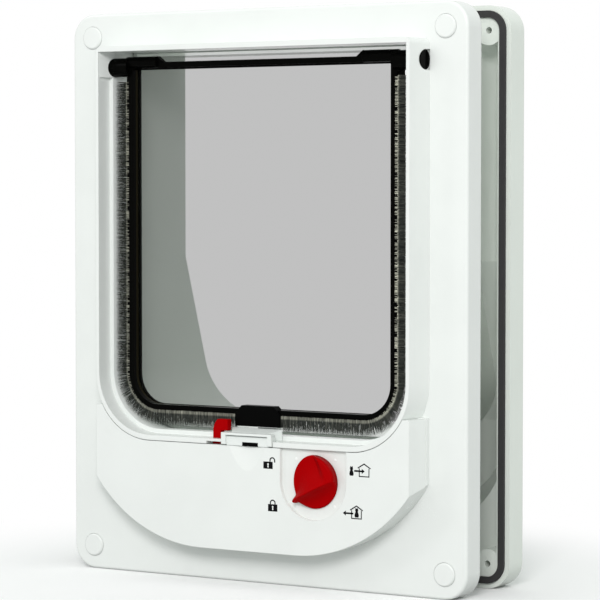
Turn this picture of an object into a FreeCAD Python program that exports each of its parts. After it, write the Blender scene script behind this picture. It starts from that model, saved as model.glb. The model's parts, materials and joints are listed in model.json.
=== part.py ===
import FreeCAD, Part
import math
import os
import re
import Sketcher

# Cat flap for a door: an inner frame with a raised collar, a swinging clear flap with a brush
# seal, a control housing with a four-position knob, and an outer frame on a telescoping liner.
# Row frame: origin at the centre of the four-screw pattern on the inner frame's back face,
# +X to the right seen from the room, +Y outdoors, +Z up. Millimetres.

SIZES = [
    # both frames
    ("frame_width", 197.0, "overall width of both frames"),
    ("frame_height", 244.0, "overall height of both frames"),
    ("frame_corner", 10.6, "outline corner radius"),
    ("frame_depth", 11.3, "inner frame, face to back"),
    ("outer_depth", 12.8, "outer frame, gasket side to back"),
    ("frame_wall", 2.4, "face and rim wall"),
    ("frame_edge", 1.2, "rounded front edge"),
    ("door_gap", 26.3, "door thickness at rest"),
    ("rib_thick", 1.6, "stiffening ribs"),
    # screws
    ("screw_inset", 10.4, "screw centre from the two nearest edges"),
    ("screw_hole", 4.5, "clearance hole in the inner frame"),
    ("head_bore", 9.2, "counterbore for a screw head"),
    ("head_depth", 6.8, "counterbore depth"),
    ("screw_boss", 13.0, "boss round the counterbore"),
    ("pilot_boss", 12.5, "boss on the outer frame"),
    ("pilot_hole", 2.7, "pilot hole in the outer frame"),
    ("cap_width", 9.8, "screw cap"),
    ("cap_rise", 0.7, "cap above the face"),
    ("cap_seat", 1.0, "recess that the cap sits in"),
    ("cap_fit", 0.1, "gap round the cap and its plug"),
    # collar round the opening
    ("island_rise", 11.9, "collar and cover above the face"),
    ("island_half", 78.2, "collar half width at its front edge"),
    ("island_flare", 2.7, "extra half width at the face"),
    ("island_top", 107.0, "collar top above the pattern centre"),
    ("side_crest", 1.7, "collar wall at its sides"),
    ("end_crest", 2.2, "collar wall at its top and bottom"),
    ("collar_low", 62.35, "collar bottom below the pattern centre"),
    ("collar_corner", 28.0, "collar lower corner radius"),
    ("collar_top_corner", 2.6, "collar upper corner radius"),
    ("ledge_width", 1.9, "step from the collar to the tunnel"),
    ("ledge_drop", 8.4, "step behind the collar's front edge"),
    ("ring_reach", 3.0, "tunnel ring behind the face"),
    # telescoping liners
    ("liner_wall", 1.7, "outer frame's liner"),
    ("liner_gap", 0.35, "sliding gap between the liners"),
    ("sleeve_wall", 2.0, "inner frame's sleeve"),
    ("sleeve_reach", 20.0, "sleeve behind the inner frame"),
    ("liner_reach", 23.1, "liner in front of the outer frame"),
    # control cover
    ("plinth_rise", 2.2, "plinth under the cover"),
    ("cover_low", 107.0, "cover bottom below the pattern centre"),
    ("cover_arc", 68.0, "radius of the cover's lower corners"),
    ("cover_flat", 23.3, "half length of the straight bottom edge"),
    ("cover_shoulder", 47.8, "cover's upper corners below the centre"),
    ("cover_gap", 0.25, "seam round the cover"),
    ("cover_wall", 1.8, "cover side wall"),
    ("cover_face", 2.0, "cover front wall"),
    ("bay_half", 52.3, "mechanism bay half width"),
    ("bay_low", 99.1, "mechanism bay, bottom"),
    ("bay_high", 64.5, "mechanism bay, top"),
    ("bay_floor", 1.2, "bay floor wall"),
    ("bay_back", 2.0, "bay floor in front of the frame's back"),
    # flap
    ("axis_up", 98.2, "hinge axis above the pattern centre"),
    ("axis_out", 2.2, "hinge axis in front of the face"),
    ("rim_half", 67.5, "flap rim half width"),
    ("rim_wall", 3.1, "flap rim at its sides"),
    ("rim_foot", 2.3, "flap rim at its bottom"),
    ("rim_low", 49.9, "flap bottom below the pattern centre"),
    ("rim_corner", 16.0, "flap lower corner radius"),
    ("rim_front", 3.2, "rim front ahead of the face"),
    ("rim_back", 3.4, "rim back behind the face"),
    ("bar_thick", 2.45, "top bar"),
    ("bar_up", 97.8, "underside of the top bar"),
    ("panel_front", 0.6, "clear panel behind the face"),
    ("panel_thick", 1.6, "clear panel"),
    ("panel_top", 102.8, "clear panel top edge"),
    ("pivot_width", 8.2, "hinge pivots"),
    ("pivot_gap", 0.08, "radial running gap at the pivots"),
    ("pivot_flush", 1.0, "pivot end inside the collar's side"),
    ("barrel_width", 5.1, "barrels beside the top bar"),
    ("barrel_up", 100.2, "barrel centre above the pattern centre"),
    ("barrel_start", 51.4, "barrel inner end"),
    ("shoulder_start", 48.3, "barrel shoulder's thin end"),
    ("pile_reach", 6.7, "brush fibres beyond the rim"),
    ("pile_foot", 7.1, "brush fibres below the rim"),
    ("pile_thick", 2.4, "brush strip"),
    ("pile_out", 0.5, "middle of the brush ahead of the face"),
    ("pile_top", 92.0, "brush ends below the pivots"),
    ("pile_short", 1.7, "brush over the catch parts"),
    ("pile_room", 2.2, "brush cut back beside the catch parts"),
    # magnets
    ("block_half", 11.2, "magnet holder half width"),
    ("block_low", 54.9, "holder bottom below the centre"),
    ("block_top", 46.1, "holder top below the centre"),
    ("block_front", 3.8, "holder front ahead of the face"),
    ("block_shoulder", 3.2, "holder upper corners"),
    ("magnet_long", 18.0, "flap magnet"),
    ("magnet_deep", 5.0, "flap magnet"),
    ("magnet_high", 3.6, "flap magnet"),
    ("keeper_half", 12.6, "sill magnet housing half width at its back"),
    ("keeper_lean", 3.4, "slant of its ends"),
    ("keeper_slope", 1.5, "fall of its top to the front"),
    ("keeper_high", 4.6, "sill magnet housing height"),
    ("keeper_front", 9.5, "sill magnet housing ahead of the face"),
    ("keeper_back", 3.8, "sill magnet housing back, ahead of the face"),
    ("bracket_half", 12.55, "catch bracket half width"),
    ("bracket_top", 57.1, "bracket top below the centre"),
    ("bracket_front", 12.7, "bracket front ahead of the face"),
    ("bracket_back", 9.75, "bracket back ahead of the face"),
    ("bracket_rim", 2.1, "raised border of the bracket"),
    ("bracket_line", 0.45, "groove under the raised border"),
    ("bracket_seam", 0.1, "gap between the bracket's foot and the cover"),
    ("notch_left", 2.6, "catch slot, left of the middle"),
    ("notch_right", 5.3, "catch slot, right of the middle"),
    ("notch_high", 1.6, "catch slot height"),
    ("notch_deep", 3.0, "catch slot behind the bracket"),
    # latches
    ("latch_left", 19.6, "entry latch leg, left side"),
    ("latch_right", 15.7, "entry latch leg, right side"),
    ("latch_arm", 12.3, "entry latch nose"),
    ("latch_top", 52.1, "entry latch top below the centre"),
    ("latch_nose", 4.7, "entry latch nose height"),
    ("latch_lean", 2.2, "entry latch's round corner, across"),
    ("latch_curl", 5.4, "entry latch's round corner, down"),
    ("latch_front", 8.0, "entry latch ahead of the face"),
    ("latch_thick", 2.8, "both latches"),
    ("latch_foot", 70.6, "underside of the latch arms"),
    ("foot_high", 2.1, "latch arms height"),
    ("latch_gap", 0.4, "gap in the latch slots"),
    ("exit_half", 5.0, "exit latch tongue half width"),
    ("exit_top", 56.0, "exit latch top below the centre"),
    ("exit_front", 4.5, "exit latch behind the face"),
    # knob
    ("knob_x", 32.4, "knob centre"),
    ("knob_down", 75.8, "knob centre below the pattern centre"),
    ("knob_width", 22.4, "knob base"),
    ("knob_rise", 6.4, "knob above the dish"),
    ("knob_lift", 0.3, "gap under the knob"),
    ("knob_taper", 1.0, "knob side taper"),
    ("ridge_half", 0.95, "half thickness of the ridge"),
    ("ridge_off", 2.4, "ridge below the knob's centre, square to it"),
    ("bowl_long", 14.0, "upper hollow, along the ridge"),
    ("bowl_wide", 10.0, "upper hollow, across the ridge"),
    ("bowl_round", 9.0, "upper hollow, into the knob"),
    ("bowl_depth", 6.0, "depth of the upper hollow"),
    ("bowl_shift", 4.0, "upper hollow towards the pointer"),
    ("cove_radius", 7.0, "lower hollow"),
    ("cove_depth", 3.4, "depth of the lower hollow"),
    ("pointer_reach", 12.7, "pointer tip along the ridge"),
    ("pointer_high", 4.4, "pointer tip above the knob's foot"),
    ("ridge_angle", 31.0, "ridge below horizontal, to the left"),
    ("dish_radius", 16.0, "dish round the knob"),
    ("dish_depth", 1.8, "dish in the cover"),
    ("dish_floor", 1.6, "floor of the dish"),
    ("thumb_half", 8.1, "half width of the thumb scoop"),
    ("thumb_high", 8.3, "thumb scoop below the seam"),
    ("thumb_deep", 1.1, "thumb scoop at the seam"),
    ("spindle_width", 5.0, "knob spindle"),
    ("spindle_gap", 0.06, "radial running gap at the spindle"),
    ("cam_radius", 4.9, "lock cam drum"),
    ("cam_back", 7.4, "cam end behind the face"),
    # battery, board and coil
    ("cell_long", 48.5, "block battery"),
    ("cell_high", 26.5, "block battery"),
    ("cell_deep", 17.2, "block battery"),
    ("cell_corner", 2.0, "block battery corners"),
    ("cell_gap", 0.4, "room round the battery"),
    ("snap_thick", 3.2, "battery snap connector"),
    ("board_thick", 1.6, "circuit board"),
    ("board_left", 5.0, "circuit board, left edge"),
    ("board_post", 1.5, "posts under the board"),
    ("post_width", 4.0, "posts under the board"),
    ("coil_x", 15.8, "coil centre"),
    ("coil_low", 97.5, "coil bottom below the centre"),
    ("coil_high", 15.5, "bobbin length"),
    ("coil_flange", 13.0, "bobbin flange"),
    ("coil_width", 11.2, "winding"),
    ("core_width", 5.0, "iron core"),
    ("flange_thick", 1.2, "bobbin flanges"),
    ("armature_gap", 1.5, "armature above the core"),
    ("plunger_gap", 0.06, "radial running gap of the plunger"),
    ("armature_thick", 1.8, "armature plate"),
    ("sensor_long", 26.0, "collar sensor"),
    ("sensor_width", 4.2, "collar sensor"),
    # door gasket
    ("gasket_inset", 2.2, "gasket from the outline"),
    ("gasket_width", 2.8, "gasket strip"),
    ("gasket_deep", 4.0, "gasket strip"),
    ("gasket_proud", 1.2, "gasket above the face"),
    ("gasket_lip", 1.2, "wall inside the gasket"),
    # outdoor side
    ("porch_side", 16.1, "raised part beyond the liner at its foot"),
    ("porch_draft", 11.4, "how far its sides lean in"),
    ("porch_low", 39.4, "its foot below the liner"),
    ("porch_rake", 6.0, "how far its underside leans in"),
    ("porch_high", 3.5, "its top above the liner"),
    ("porch_corner", 36.0, "its lower corners"),
    ("porch_rise", 25.4, "sill behind the outer frame"),
    ("porch_bend", 89.8, "where the cheeks start to slope, below the ceiling"),
    ("porch_sill", 3.9, "where the cheeks end, above the tunnel's floor"),
    ("porch_step", 2.0, "raised part behind the frame at the top"),
    # cuts
    ("past", 1.0, "how far a cut starts or ends outside the solid"),
]

LEAST_CUT = 1e-6
NEAR = 0.01

doc = FreeCAD.newDocument("cat_flap")
sheet = doc.addObject("Spreadsheet::Sheet", "dims")
for row, (alias, number, meaning) in enumerate(SIZES, start=1):
    sheet.set(f"A{row}", meaning)
    sheet.set(f"B{row}", str(number))
    sheet.setAlias(f"B{row}", alias)
probe = doc.addObject("App::FeaturePython", "probe")
probe.addProperty("App::PropertyFloat", "Number")
doc.recompute()

ALIASES = re.compile(r"\b(" + "|".join(alias for alias, number, meaning in SIZES) + r")\b")


def tie(expression):
    """The expression with each size read from the sheet."""
    return ALIASES.sub(r"dims.\1", str(expression))


def value(expression):
    """What an expression of sizes comes to now."""
    probe.setExpression("Number", tie(expression))
    probe.recompute()
    return probe.Number


# Places that several pieces share, as expressions of the sizes.
FACE = "(-frame_depth)"
ISLAND_FRONT = "(-frame_depth - island_rise)"
LEDGE = "(-frame_depth - island_rise + ledge_drop)"
COVER_BASE = "(-frame_depth - plinth_rise)"
COVER_INNER = "(-frame_depth - island_rise + cover_face)"
RING_BACK = "(-frame_depth + ring_reach)"
SCREW_X = "(frame_width / 2 - screw_inset)"
SCREW_Z = "(frame_height / 2 - screw_inset)"
COLLAR_HALF = "(island_half - side_crest)"
COLLAR_FLOOR = "(-collar_low + end_crest)"
CEILING = "(island_top - end_crest)"
TUNNEL_HALF = "(island_half - side_crest - ledge_width)"
TUNNEL_FLOOR = "(-collar_low + end_crest + ledge_width)"
TUNNEL_CORNER = "(collar_corner - side_crest - ledge_width)"
LINER_OUT = "liner_wall"
SLEEVE_IN = "(liner_wall + liner_gap)"
SLEEVE_OUT = "(liner_wall + liner_gap + sleeve_wall)"
OUTER_FRONT = "door_gap"
OUTER_BACK = "(door_gap + outer_depth)"
AXIS_Y = "(-frame_depth - axis_out)"
BAY_FLOOR = "(-bay_back - bay_floor)"
BOARD_FRONT = "(-bay_back - bay_floor - board_post - board_thick)"
PILE_Y = "(-frame_depth - pile_out)"
DISH_FLOOR = "(-frame_depth - island_rise + dish_depth)"
DISH_BACK = "(-frame_depth - island_rise + dish_depth + dish_floor)"
KNOB_FOOT = "(-frame_depth - island_rise + dish_depth - knob_lift)"
KNOB_FRONT = "(-frame_depth - island_rise + dish_depth - knob_lift - knob_rise)"
SIDE_END = "(island_half + island_flare - pivot_flush)"


def new_body(name):
    """An empty body that becomes one named piece."""
    body = doc.addObject("PartDesign::Body", name)
    body.Label = name
    return body


def arc_between(start, end, radius, side):
    """An arc from start to end. Its centre is on the left of the way for side 1, else on the right."""
    middle = (start + end) * 0.5
    chord = end - start
    half = chord.Length / 2
    height = math.sqrt(max(radius * radius - half * half, 0.0))
    left = FreeCAD.Vector(-chord.y, chord.x, 0).normalize()
    centre = middle + left * (height * side)
    first, last = (start, end) if side > 0 else (end, start)
    begin = math.atan2(first.y - centre.y, first.x - centre.x)
    finish = math.atan2(last.y - centre.y, last.x - centre.x)
    circle = Part.Circle(centre, FreeCAD.Vector(0, 0, 1), radius)
    return Part.ArcOfCircle(circle, begin, finish)


def add_loop(sketch, corners):
    """A closed loop. A corner is (x, y), or (x, y, radius, side) where an arc leaves it."""
    points = [FreeCAD.Vector(value(corner[0]), value(corner[1]), 0) for corner in corners]
    ends = []
    for index, corner in enumerate(corners):
        start = points[index]
        end = points[(index + 1) % len(points)]
        if len(corner) == 4:
            edge = arc_between(start, end, value(corner[2]), corner[3])
            number = sketch.addGeometry(edge, False)
            ends.append((number, 1, 2) if corner[3] > 0 else (number, 2, 1))
        else:
            number = sketch.addGeometry(Part.LineSegment(start, end), False)
            ends.append((number, 1, 2))
    for index, corner in enumerate(corners):
        number, first, last = ends[index]
        after, after_first, after_last = ends[(index + 1) % len(ends)]
        sketch.addConstraint(Sketcher.Constraint("Coincident", number, last, after, after_first))
        for kind, place, text in (("DistanceX", points[index].x, corner[0]),
                                  ("DistanceY", points[index].y, corner[1])):
            fixed = sketch.addConstraint(Sketcher.Constraint(kind, -1, 1, number, first, place))
            sketch.setExpression(f"Constraints[{fixed}]", tie(text))
        if len(corner) == 4:
            size = value(corner[2])
            fixed = sketch.addConstraint(Sketcher.Constraint("Radius", number, size))
            sketch.setExpression(f"Constraints[{fixed}]", tie(corner[2]))


def add_round(sketch, x, y, diameter):
    """A circle at x, y."""
    centre = FreeCAD.Vector(value(x), value(y), 0)
    circle = Part.Circle(centre, FreeCAD.Vector(0, 0, 1), value(diameter) / 2)
    number = sketch.addGeometry(circle, False)
    for kind, place, text in (("DistanceX", centre.x, x), ("DistanceY", centre.y, y)):
        fixed = sketch.addConstraint(Sketcher.Constraint(kind, -1, 1, number, 3, place))
        sketch.setExpression(f"Constraints[{fixed}]", tie(text))
    fixed = sketch.addConstraint(Sketcher.Constraint("Diameter", number, value(diameter)))
    sketch.setExpression(f"Constraints[{fixed}]", tie(diameter))


def new_sketch(body, name, plane, place, loops=(), rounds=()):
    """A sketch in the body on one of its origin planes, moved along that plane's axis to place."""
    sketch = body.newObject("Sketcher::SketchObject", name)
    roles = {feature.Role: feature for feature in body.Origin.OriginFeatures}
    sketch.AttachmentSupport = [(roles[plane], "")]
    sketch.MapMode = "FlatFace"
    sign = "-" if plane == "XZ_Plane" else ""
    sketch.setExpression("AttachmentOffset.Base.z", f"{sign}({tie(place)})")
    for loop in loops:
        add_loop(sketch, loop)
    for x, y, diameter in rounds:
        add_round(sketch, x, y, diameter)
    sketch.Visibility = False
    return sketch


def pad(body, name, plane, start, end, loops=(), rounds=()):
    """Material between start and end along the plane's axis."""
    sketch = new_sketch(body, name + "_outline", plane, start, loops, rounds)
    feature = body.newObject("PartDesign::Pad", name)
    feature.Profile = sketch
    feature.Reversed = plane == "XZ_Plane"
    feature.setExpression("Length", f"({tie(end)}) - ({tie(start)})")
    doc.recompute()
    return feature


def pocket(body, name, plane, start, end, loops=(), rounds=()):
    """A cut between start and end along the plane's axis, which must take material away."""
    before = body.Shape.Volume
    sketch = new_sketch(body, name + "_outline", plane, start, loops, rounds)
    feature = body.newObject("PartDesign::Pocket", name)
    feature.Profile = sketch
    feature.Reversed = plane != "XZ_Plane"
    feature.setExpression("Length", f"({tie(end)}) - ({tie(start)})")
    doc.recompute()
    if body.Shape.Volume > before - LEAST_CUT:
        raise RuntimeError(f"{body.Label}: {name} cuts nothing")
    return feature


def loft(body, name, sections, cut=False):
    """A straight-sided loft through loops at places along Y."""
    sketches = []
    for number, (place, loop) in enumerate(sections):
        sketches.append(new_sketch(body, f"{name}_section_{number}", "XZ_Plane", place, [loop]))
    kind = "PartDesign::SubtractiveLoft" if cut else "PartDesign::AdditiveLoft"
    feature = body.newObject(kind, name)
    feature.Profile = sketches[0]
    feature.Sections = sketches[1:]
    feature.Ruled = True
    doc.recompute()
    return feature


def round_edges(body, name, radius, chosen, kind="PartDesign::Fillet"):
    """Fillets, or chamfers, the edges that the test picks from the shape so far."""
    tip = body.Tip
    names = [f"Edge{number}" for number, edge in enumerate(tip.Shape.Edges, start=1) if chosen(edge)]
    if not names:
        raise RuntimeError(f"{body.Label}: {name} finds no edge")
    feature = body.newObject(kind, name)
    feature.Base = (tip, names)
    feature.setExpression("Radius" if kind.endswith("Fillet") else "Size", tie(radius))
    doc.recompute()
    return feature


def at_depth(edge, place):
    """Whether the whole edge lies at this Y."""
    box = edge.BoundBox
    return abs(box.YMin - place) < NEAR and abs(box.YMax - place) < NEAR


def rectangle(left, right, low, high):
    """A rectangular loop."""
    return [(left, low), (right, low), (right, high), (left, high)]


def opening_loop(half, low, high, low_corner, high_corner):
    """A loop with large round lower corners and small round upper ones."""
    inner_x = f"(({half}) - ({low_corner}))"
    upper_x = f"(({half}) - ({high_corner}))"
    lift = f"(({low}) + ({low_corner}))"
    upper_z = f"(({high}) - ({high_corner}))"
    return [
        (f"-{inner_x}", low),
        (inner_x, low, low_corner, 1),
        (f"({half})", lift),
        (f"({half})", upper_z, high_corner, 1),
        (upper_x, high),
        (f"-{upper_x}", high, high_corner, 1),
        (f"-({half})", upper_z),
        (f"-({half})", lift, low_corner, 1),
    ]


def plain_opening(half, low, high, low_corner):
    """The same with square upper corners."""
    inner_x = f"(({half}) - ({low_corner}))"
    lift = f"(({low}) + ({low_corner}))"
    return [
        (f"-{inner_x}", low),
        (inner_x, low, low_corner, 1),
        (f"({half})", lift),
        (f"({half})", high),
        (f"-({half})", high),
        (f"-({half})", lift, low_corner, 1),
    ]


def channel_loop(x, half, low, high):
    """A loop with a half round foot and straight sides."""
    lift = f"(({low}) + ({half}))"
    return [
        (f"({x}) - ({half})", lift, half, 1),
        (x, low, half, 1),
        (f"({x}) + ({half})", lift),
        (f"({x}) + ({half})", high),
        (f"({x}) - ({half})", high),
    ]


def tunnel_loop(grow):
    """The tunnel's section, grown outwards."""
    return plain_opening(f"{TUNNEL_HALF} + ({grow})", f"{TUNNEL_FLOOR} - ({grow})",
                         f"{CEILING} + ({grow})", f"{TUNNEL_CORNER} + ({grow})")


def side_low(half, low="-cover_low", arc="cover_arc"):
    """Height at which a lower corner arc meets the side."""
    return f"({low} + {arc} - sqrt(({arc})^2 - (({half}) - cover_flat)^2))"


def shield_loop(half, top):
    """The control housing's shield outline with a straight top."""
    low = side_low(half)
    return [
        (f"-({half})", low, "cover_arc", 1),
        ("-cover_flat", "-cover_low"),
        ("cover_flat", "-cover_low", "cover_arc", 1),
        (f"({half})", low),
        (f"({half})", top),
        (f"-({half})", top),
    ]


def cover_loop(half, inset):
    """The cover's outline: a shield whose top follows the collar's lower edge."""
    side = f"(({half}) - ({inset}))"
    bottom = f"(-cover_low + ({inset}))"
    arc = f"(cover_arc - ({inset}))"
    low = side_low(side, bottom, arc)
    gap = f"(cover_gap + ({inset}))"
    seam = f"(collar_corner + {gap})"
    seam_x = f"(({half}) - collar_corner)"
    seam_z = f"(-collar_low - {gap})"
    shoulder = f"(-cover_shoulder - {gap})"
    meet = f"({seam_x} + sqrt({seam}^2 - (-collar_low + collar_corner - {shoulder})^2))"
    return [
        (f"-{side}", low, arc, 1),
        ("-cover_flat", bottom),
        ("cover_flat", bottom, arc, 1),
        (side, low),
        (side, shoulder),
        (meet, shoulder, seam, -1),
        (seam_x, seam_z),
        (f"-{seam_x}", seam_z, seam, -1),
        (f"-{meet}", shoulder),
        (f"-{side}", shoulder),
    ]


def box(name, x, y, z, length, depth, height):
    """A box from its lowest corner, sizes bound to the sheet."""
    item = doc.addObject("Part::Box", name)
    item.setExpression("Length", tie(length))
    item.setExpression("Width", tie(depth))
    item.setExpression("Height", tie(height))
    for axis, text in zip("xyz", (x, y, z)):
        item.setExpression(f"Placement.Base.{axis}", tie(text))
    return item


TURNS = {
    "X": FreeCAD.Rotation(FreeCAD.Vector(0, 1, 0), 90),
    "Y": FreeCAD.Rotation(FreeCAD.Vector(1, 0, 0), -90),
    "Z": FreeCAD.Rotation(),
}


def rod(name, axis, x, y, z, length, radius, end_radius=None):
    """A cylinder or cone along an axis from its first end."""
    item = doc.addObject("Part::Cylinder" if end_radius is None else "Part::Cone", name)
    item.Placement = FreeCAD.Placement(FreeCAD.Vector(), TURNS[axis])
    item.setExpression("Height", tie(length))
    if end_radius is None:
        item.setExpression("Radius", tie(radius))
    else:
        item.setExpression("Radius1", tie(radius))
        item.setExpression("Radius2", tie(end_radius))
    for direction, text in zip("xyz", (x, y, z)):
        item.setExpression(f"Placement.Base.{direction}", tie(text))
    return item


def fuse(name, *pieces):
    """One piece from several."""
    item = doc.addObject("Part::MultiFuse", name)
    item.Shapes = list(pieces)
    item.Refine = True
    return item


def cut(name, base, *tools):
    """The base less the tools."""
    for number, tool in enumerate(tools):
        item = doc.addObject("Part::Cut", name if number == len(tools) - 1 else f"{name}_step_{number}")
        item.Base = base
        item.Tool = tool
        item.Refine = True
        base = item
    return base


def make_inner_frame():
    """Hollow face plate with the collar, the plinth, the sleeve, the bay and the screw bosses."""
    body = new_body("inner_frame")
    edge = opening_loop("frame_width / 2", "-frame_height / 2", "frame_height / 2",
                        "frame_corner", "frame_corner")
    inside = "frame_wall"
    hollow = opening_loop(f"frame_width / 2 - {inside}", f"-frame_height / 2 + {inside}",
                          f"frame_height / 2 - {inside}", f"frame_corner - {inside}",
                          f"frame_corner - {inside}")
    pad(body, "face_block", "XZ_Plane", FACE, "0", [edge])
    round_edges(body, "face_edge", "frame_edge", lambda e: at_depth(e, value(FACE)))
    pocket(body, "back_hollow", "XZ_Plane", f"{FACE} + frame_wall", "0", [hollow])
    collar_front = opening_loop("island_half", "-collar_low", "island_top",
                                "collar_corner", "collar_top_corner")
    collar_base = opening_loop("island_half + island_flare", "-collar_low", "island_top",
                               "collar_corner", "collar_top_corner")
    loft(body, "collar", [(FACE, collar_base), (ISLAND_FRONT, collar_front)])
    pad(body, "plinth", "XZ_Plane", COVER_BASE, FACE,
        [shield_loop("island_half + island_flare", "-cover_shoulder")])
    pad(body, "sleeve", "XZ_Plane", f"{FACE} + frame_wall / 2", "sleeve_reach",
        [tunnel_loop(SLEEVE_OUT)])
    wall = "frame_wall / 2"
    bay = rectangle("-bay_half", "bay_half", "-bay_low", "-bay_high")
    bay_shell = rectangle(f"-bay_half - {wall}", f"bay_half + {wall}",
                          f"-bay_low - {wall}", f"-bay_high + {wall}")
    pad(body, "bay_shell", "XZ_Plane", f"{FACE} + frame_wall / 2", "-bay_back", [bay_shell])
    screws = [(f"{sx}{SCREW_X}", f"{sz}{SCREW_Z}") for sx in ("-", "") for sz in ("-", "")]
    pad(body, "screw_bosses", "XZ_Plane", f"{FACE} + frame_wall / 2", "0",
        rounds=[(x, z, "screw_boss") for x, z in screws])
    for number, z in enumerate(("frame_height / 6", "-frame_height / 6", "0")):
        pad(body, f"rib_{number}", "XZ_Plane", f"{FACE} + frame_wall / 2", "-frame_wall",
            [rectangle("-frame_width / 2 + frame_wall / 2", "frame_width / 2 - frame_wall / 2",
                       f"{z} - rib_thick / 2", f"{z} + rib_thick / 2")])
    pocket(body, "collar_well", "XZ_Plane", f"{ISLAND_FRONT} - past", LEDGE,
           [plain_opening(COLLAR_HALF, COLLAR_FLOOR, CEILING, "collar_corner - side_crest")])
    pocket(body, "tunnel", "XZ_Plane", f"{LEDGE} - past", RING_BACK, [tunnel_loop("0")])
    pocket(body, "sleeve_bore", "XZ_Plane", RING_BACK, "sleeve_reach + past", [tunnel_loop(SLEEVE_IN)])
    pocket(body, "bay", "XZ_Plane", f"{COVER_BASE} - past", BAY_FLOOR, [bay])
    posts = [(x, z, "post_width")
             for x in ("board_left + post_width", "bay_half - cell_gap - post_width")
             for z in ("-bay_low + cell_gap + post_width", "-latch_foot - latch_gap - post_width")]
    pad(body, "board_posts", "XZ_Plane", f"{BAY_FLOOR} - board_post", f"{BAY_FLOOR} + bay_floor / 2",
        rounds=posts)
    pocket(body, "cap_seats", "XZ_Plane", f"{FACE} - past", f"{FACE} + cap_seat",
           rounds=[(x, z, "cap_width + 2 * cap_fit") for x, z in screws])
    pocket(body, "head_bores", "XZ_Plane", f"{FACE} - past", f"{FACE} + head_depth",
           rounds=[(x, z, "head_bore") for x, z in screws])
    pocket(body, "screw_holes", "XZ_Plane", f"{FACE} - past", "past",
           rounds=[(x, z, "screw_hole") for x, z in screws])
    make_frame_slots(body)
    return body


def make_frame_slots(body):
    """Pivot holes with their rear slots, latch slots and the seat of the catch bracket."""
    pivot = "pivot_width / 2 + pivot_gap"
    base = "island_half + island_flare"
    for side, first, last in (("left", f"-({base})", f"-{TUNNEL_HALF} + past"),
                              ("right", f"{TUNNEL_HALF} - past", base)):
        pocket(body, f"pivot_hole_{side}", "YZ_Plane", first, last,
               rounds=[(AXIS_Y, "axis_up", f"2 * ({pivot})")])
        pocket(body, f"pivot_slot_{side}", "YZ_Plane", first, last,
               [rectangle(AXIS_Y, f"{FACE} + exit_front + latch_thick", f"axis_up - ({pivot})",
                          f"axis_up + ({pivot})")])
    pocket(body, "entry_slot", "XY_Plane", f"-collar_low - past", f"{COLLAR_FLOOR} + past",
           [rectangle("-latch_left - latch_gap", "-latch_right + latch_gap",
                      f"{FACE} - latch_front - latch_gap",
                      f"{FACE} - latch_front + latch_thick + latch_gap")])
    pocket(body, "exit_slot", "XY_Plane", "-bay_high - past", f"{TUNNEL_FLOOR} + past",
           [rectangle("-exit_half - latch_gap", "exit_half + latch_gap",
                      f"{FACE} + exit_front - latch_gap",
                      f"{FACE} + exit_front + latch_thick + latch_gap")])
    pocket(body, "bracket_seat", "XZ_Plane", f"{ISLAND_FRONT} - past", f"{FACE} - bracket_back",
           [rectangle("-bracket_half - cover_gap", "bracket_half + cover_gap",
                      "-collar_low - past", f"{COLLAR_FLOOR} + past")])
    pocket(body, "catch_slot", "XZ_Plane", f"{ISLAND_FRONT} - past", f"{FACE} - bracket_back + notch_deep",
           [rectangle("-notch_left", "notch_right", "-collar_low - past",
                      "-collar_low - cover_gap + bracket_seam + notch_high")])
    pocket(body, "latch_window", "XZ_Plane", f"{ISLAND_FRONT} - past",
           f"{FACE} - latch_front - latch_gap / 2",
           [rectangle("-latch_left - past", "-bracket_half", "-collar_low - past",
                      "-collar_low + end_crest / 2")])
    return body


def make_hinge_clips():
    """White saddles that close the rear slots behind the flap's pivots."""
    clips = []
    span = f"({SIDE_END} - {TUNNEL_HALF})"
    half = "(pivot_width / 2)"
    for side, place in (("left", f"-{SIDE_END}"), ("right", TUNNEL_HALF)):
        block = box(f"clip_block_{side}", place, AXIS_Y, f"axis_up - {half}", span,
                    "axis_out + exit_front + latch_thick - latch_gap", f"2 * {half}")
        bore = rod(f"clip_bore_{side}", "X", f"{place} - past", AXIS_Y, "axis_up",
                   f"{span} + 2", f"{half} + pivot_gap")
        clips.append(cut(f"hinge_clip_{side}", block, bore))
    return clips


def make_screw_caps():
    """Low discs with a bevelled edge that plug into the counterbores."""
    caps = []
    for number, (sx, sz) in enumerate((("-", ""), ("", ""), ("-", "-"), ("", "-")), start=1):
        x, z = f"{sx}{SCREW_X}", f"{sz}{SCREW_Z}"
        body = new_body(f"screw_cap_{number}")
        pad(body, "disc", "XZ_Plane", f"{FACE} - cap_rise", f"{FACE} + cap_seat",
            rounds=[(x, z, "cap_width")])
        front = value(f"{FACE} - cap_rise")
        round_edges(body, "bevel", "3 * cap_rise / 4", lambda e: at_depth(e, front), "PartDesign::Chamfer")
        pad(body, "plug", "XZ_Plane", f"{FACE} + cap_seat", f"{FACE} + head_depth / 2",
            rounds=[(x, z, "head_bore - 2 * cap_fit")])
        caps.append(body)
    return caps


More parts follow.
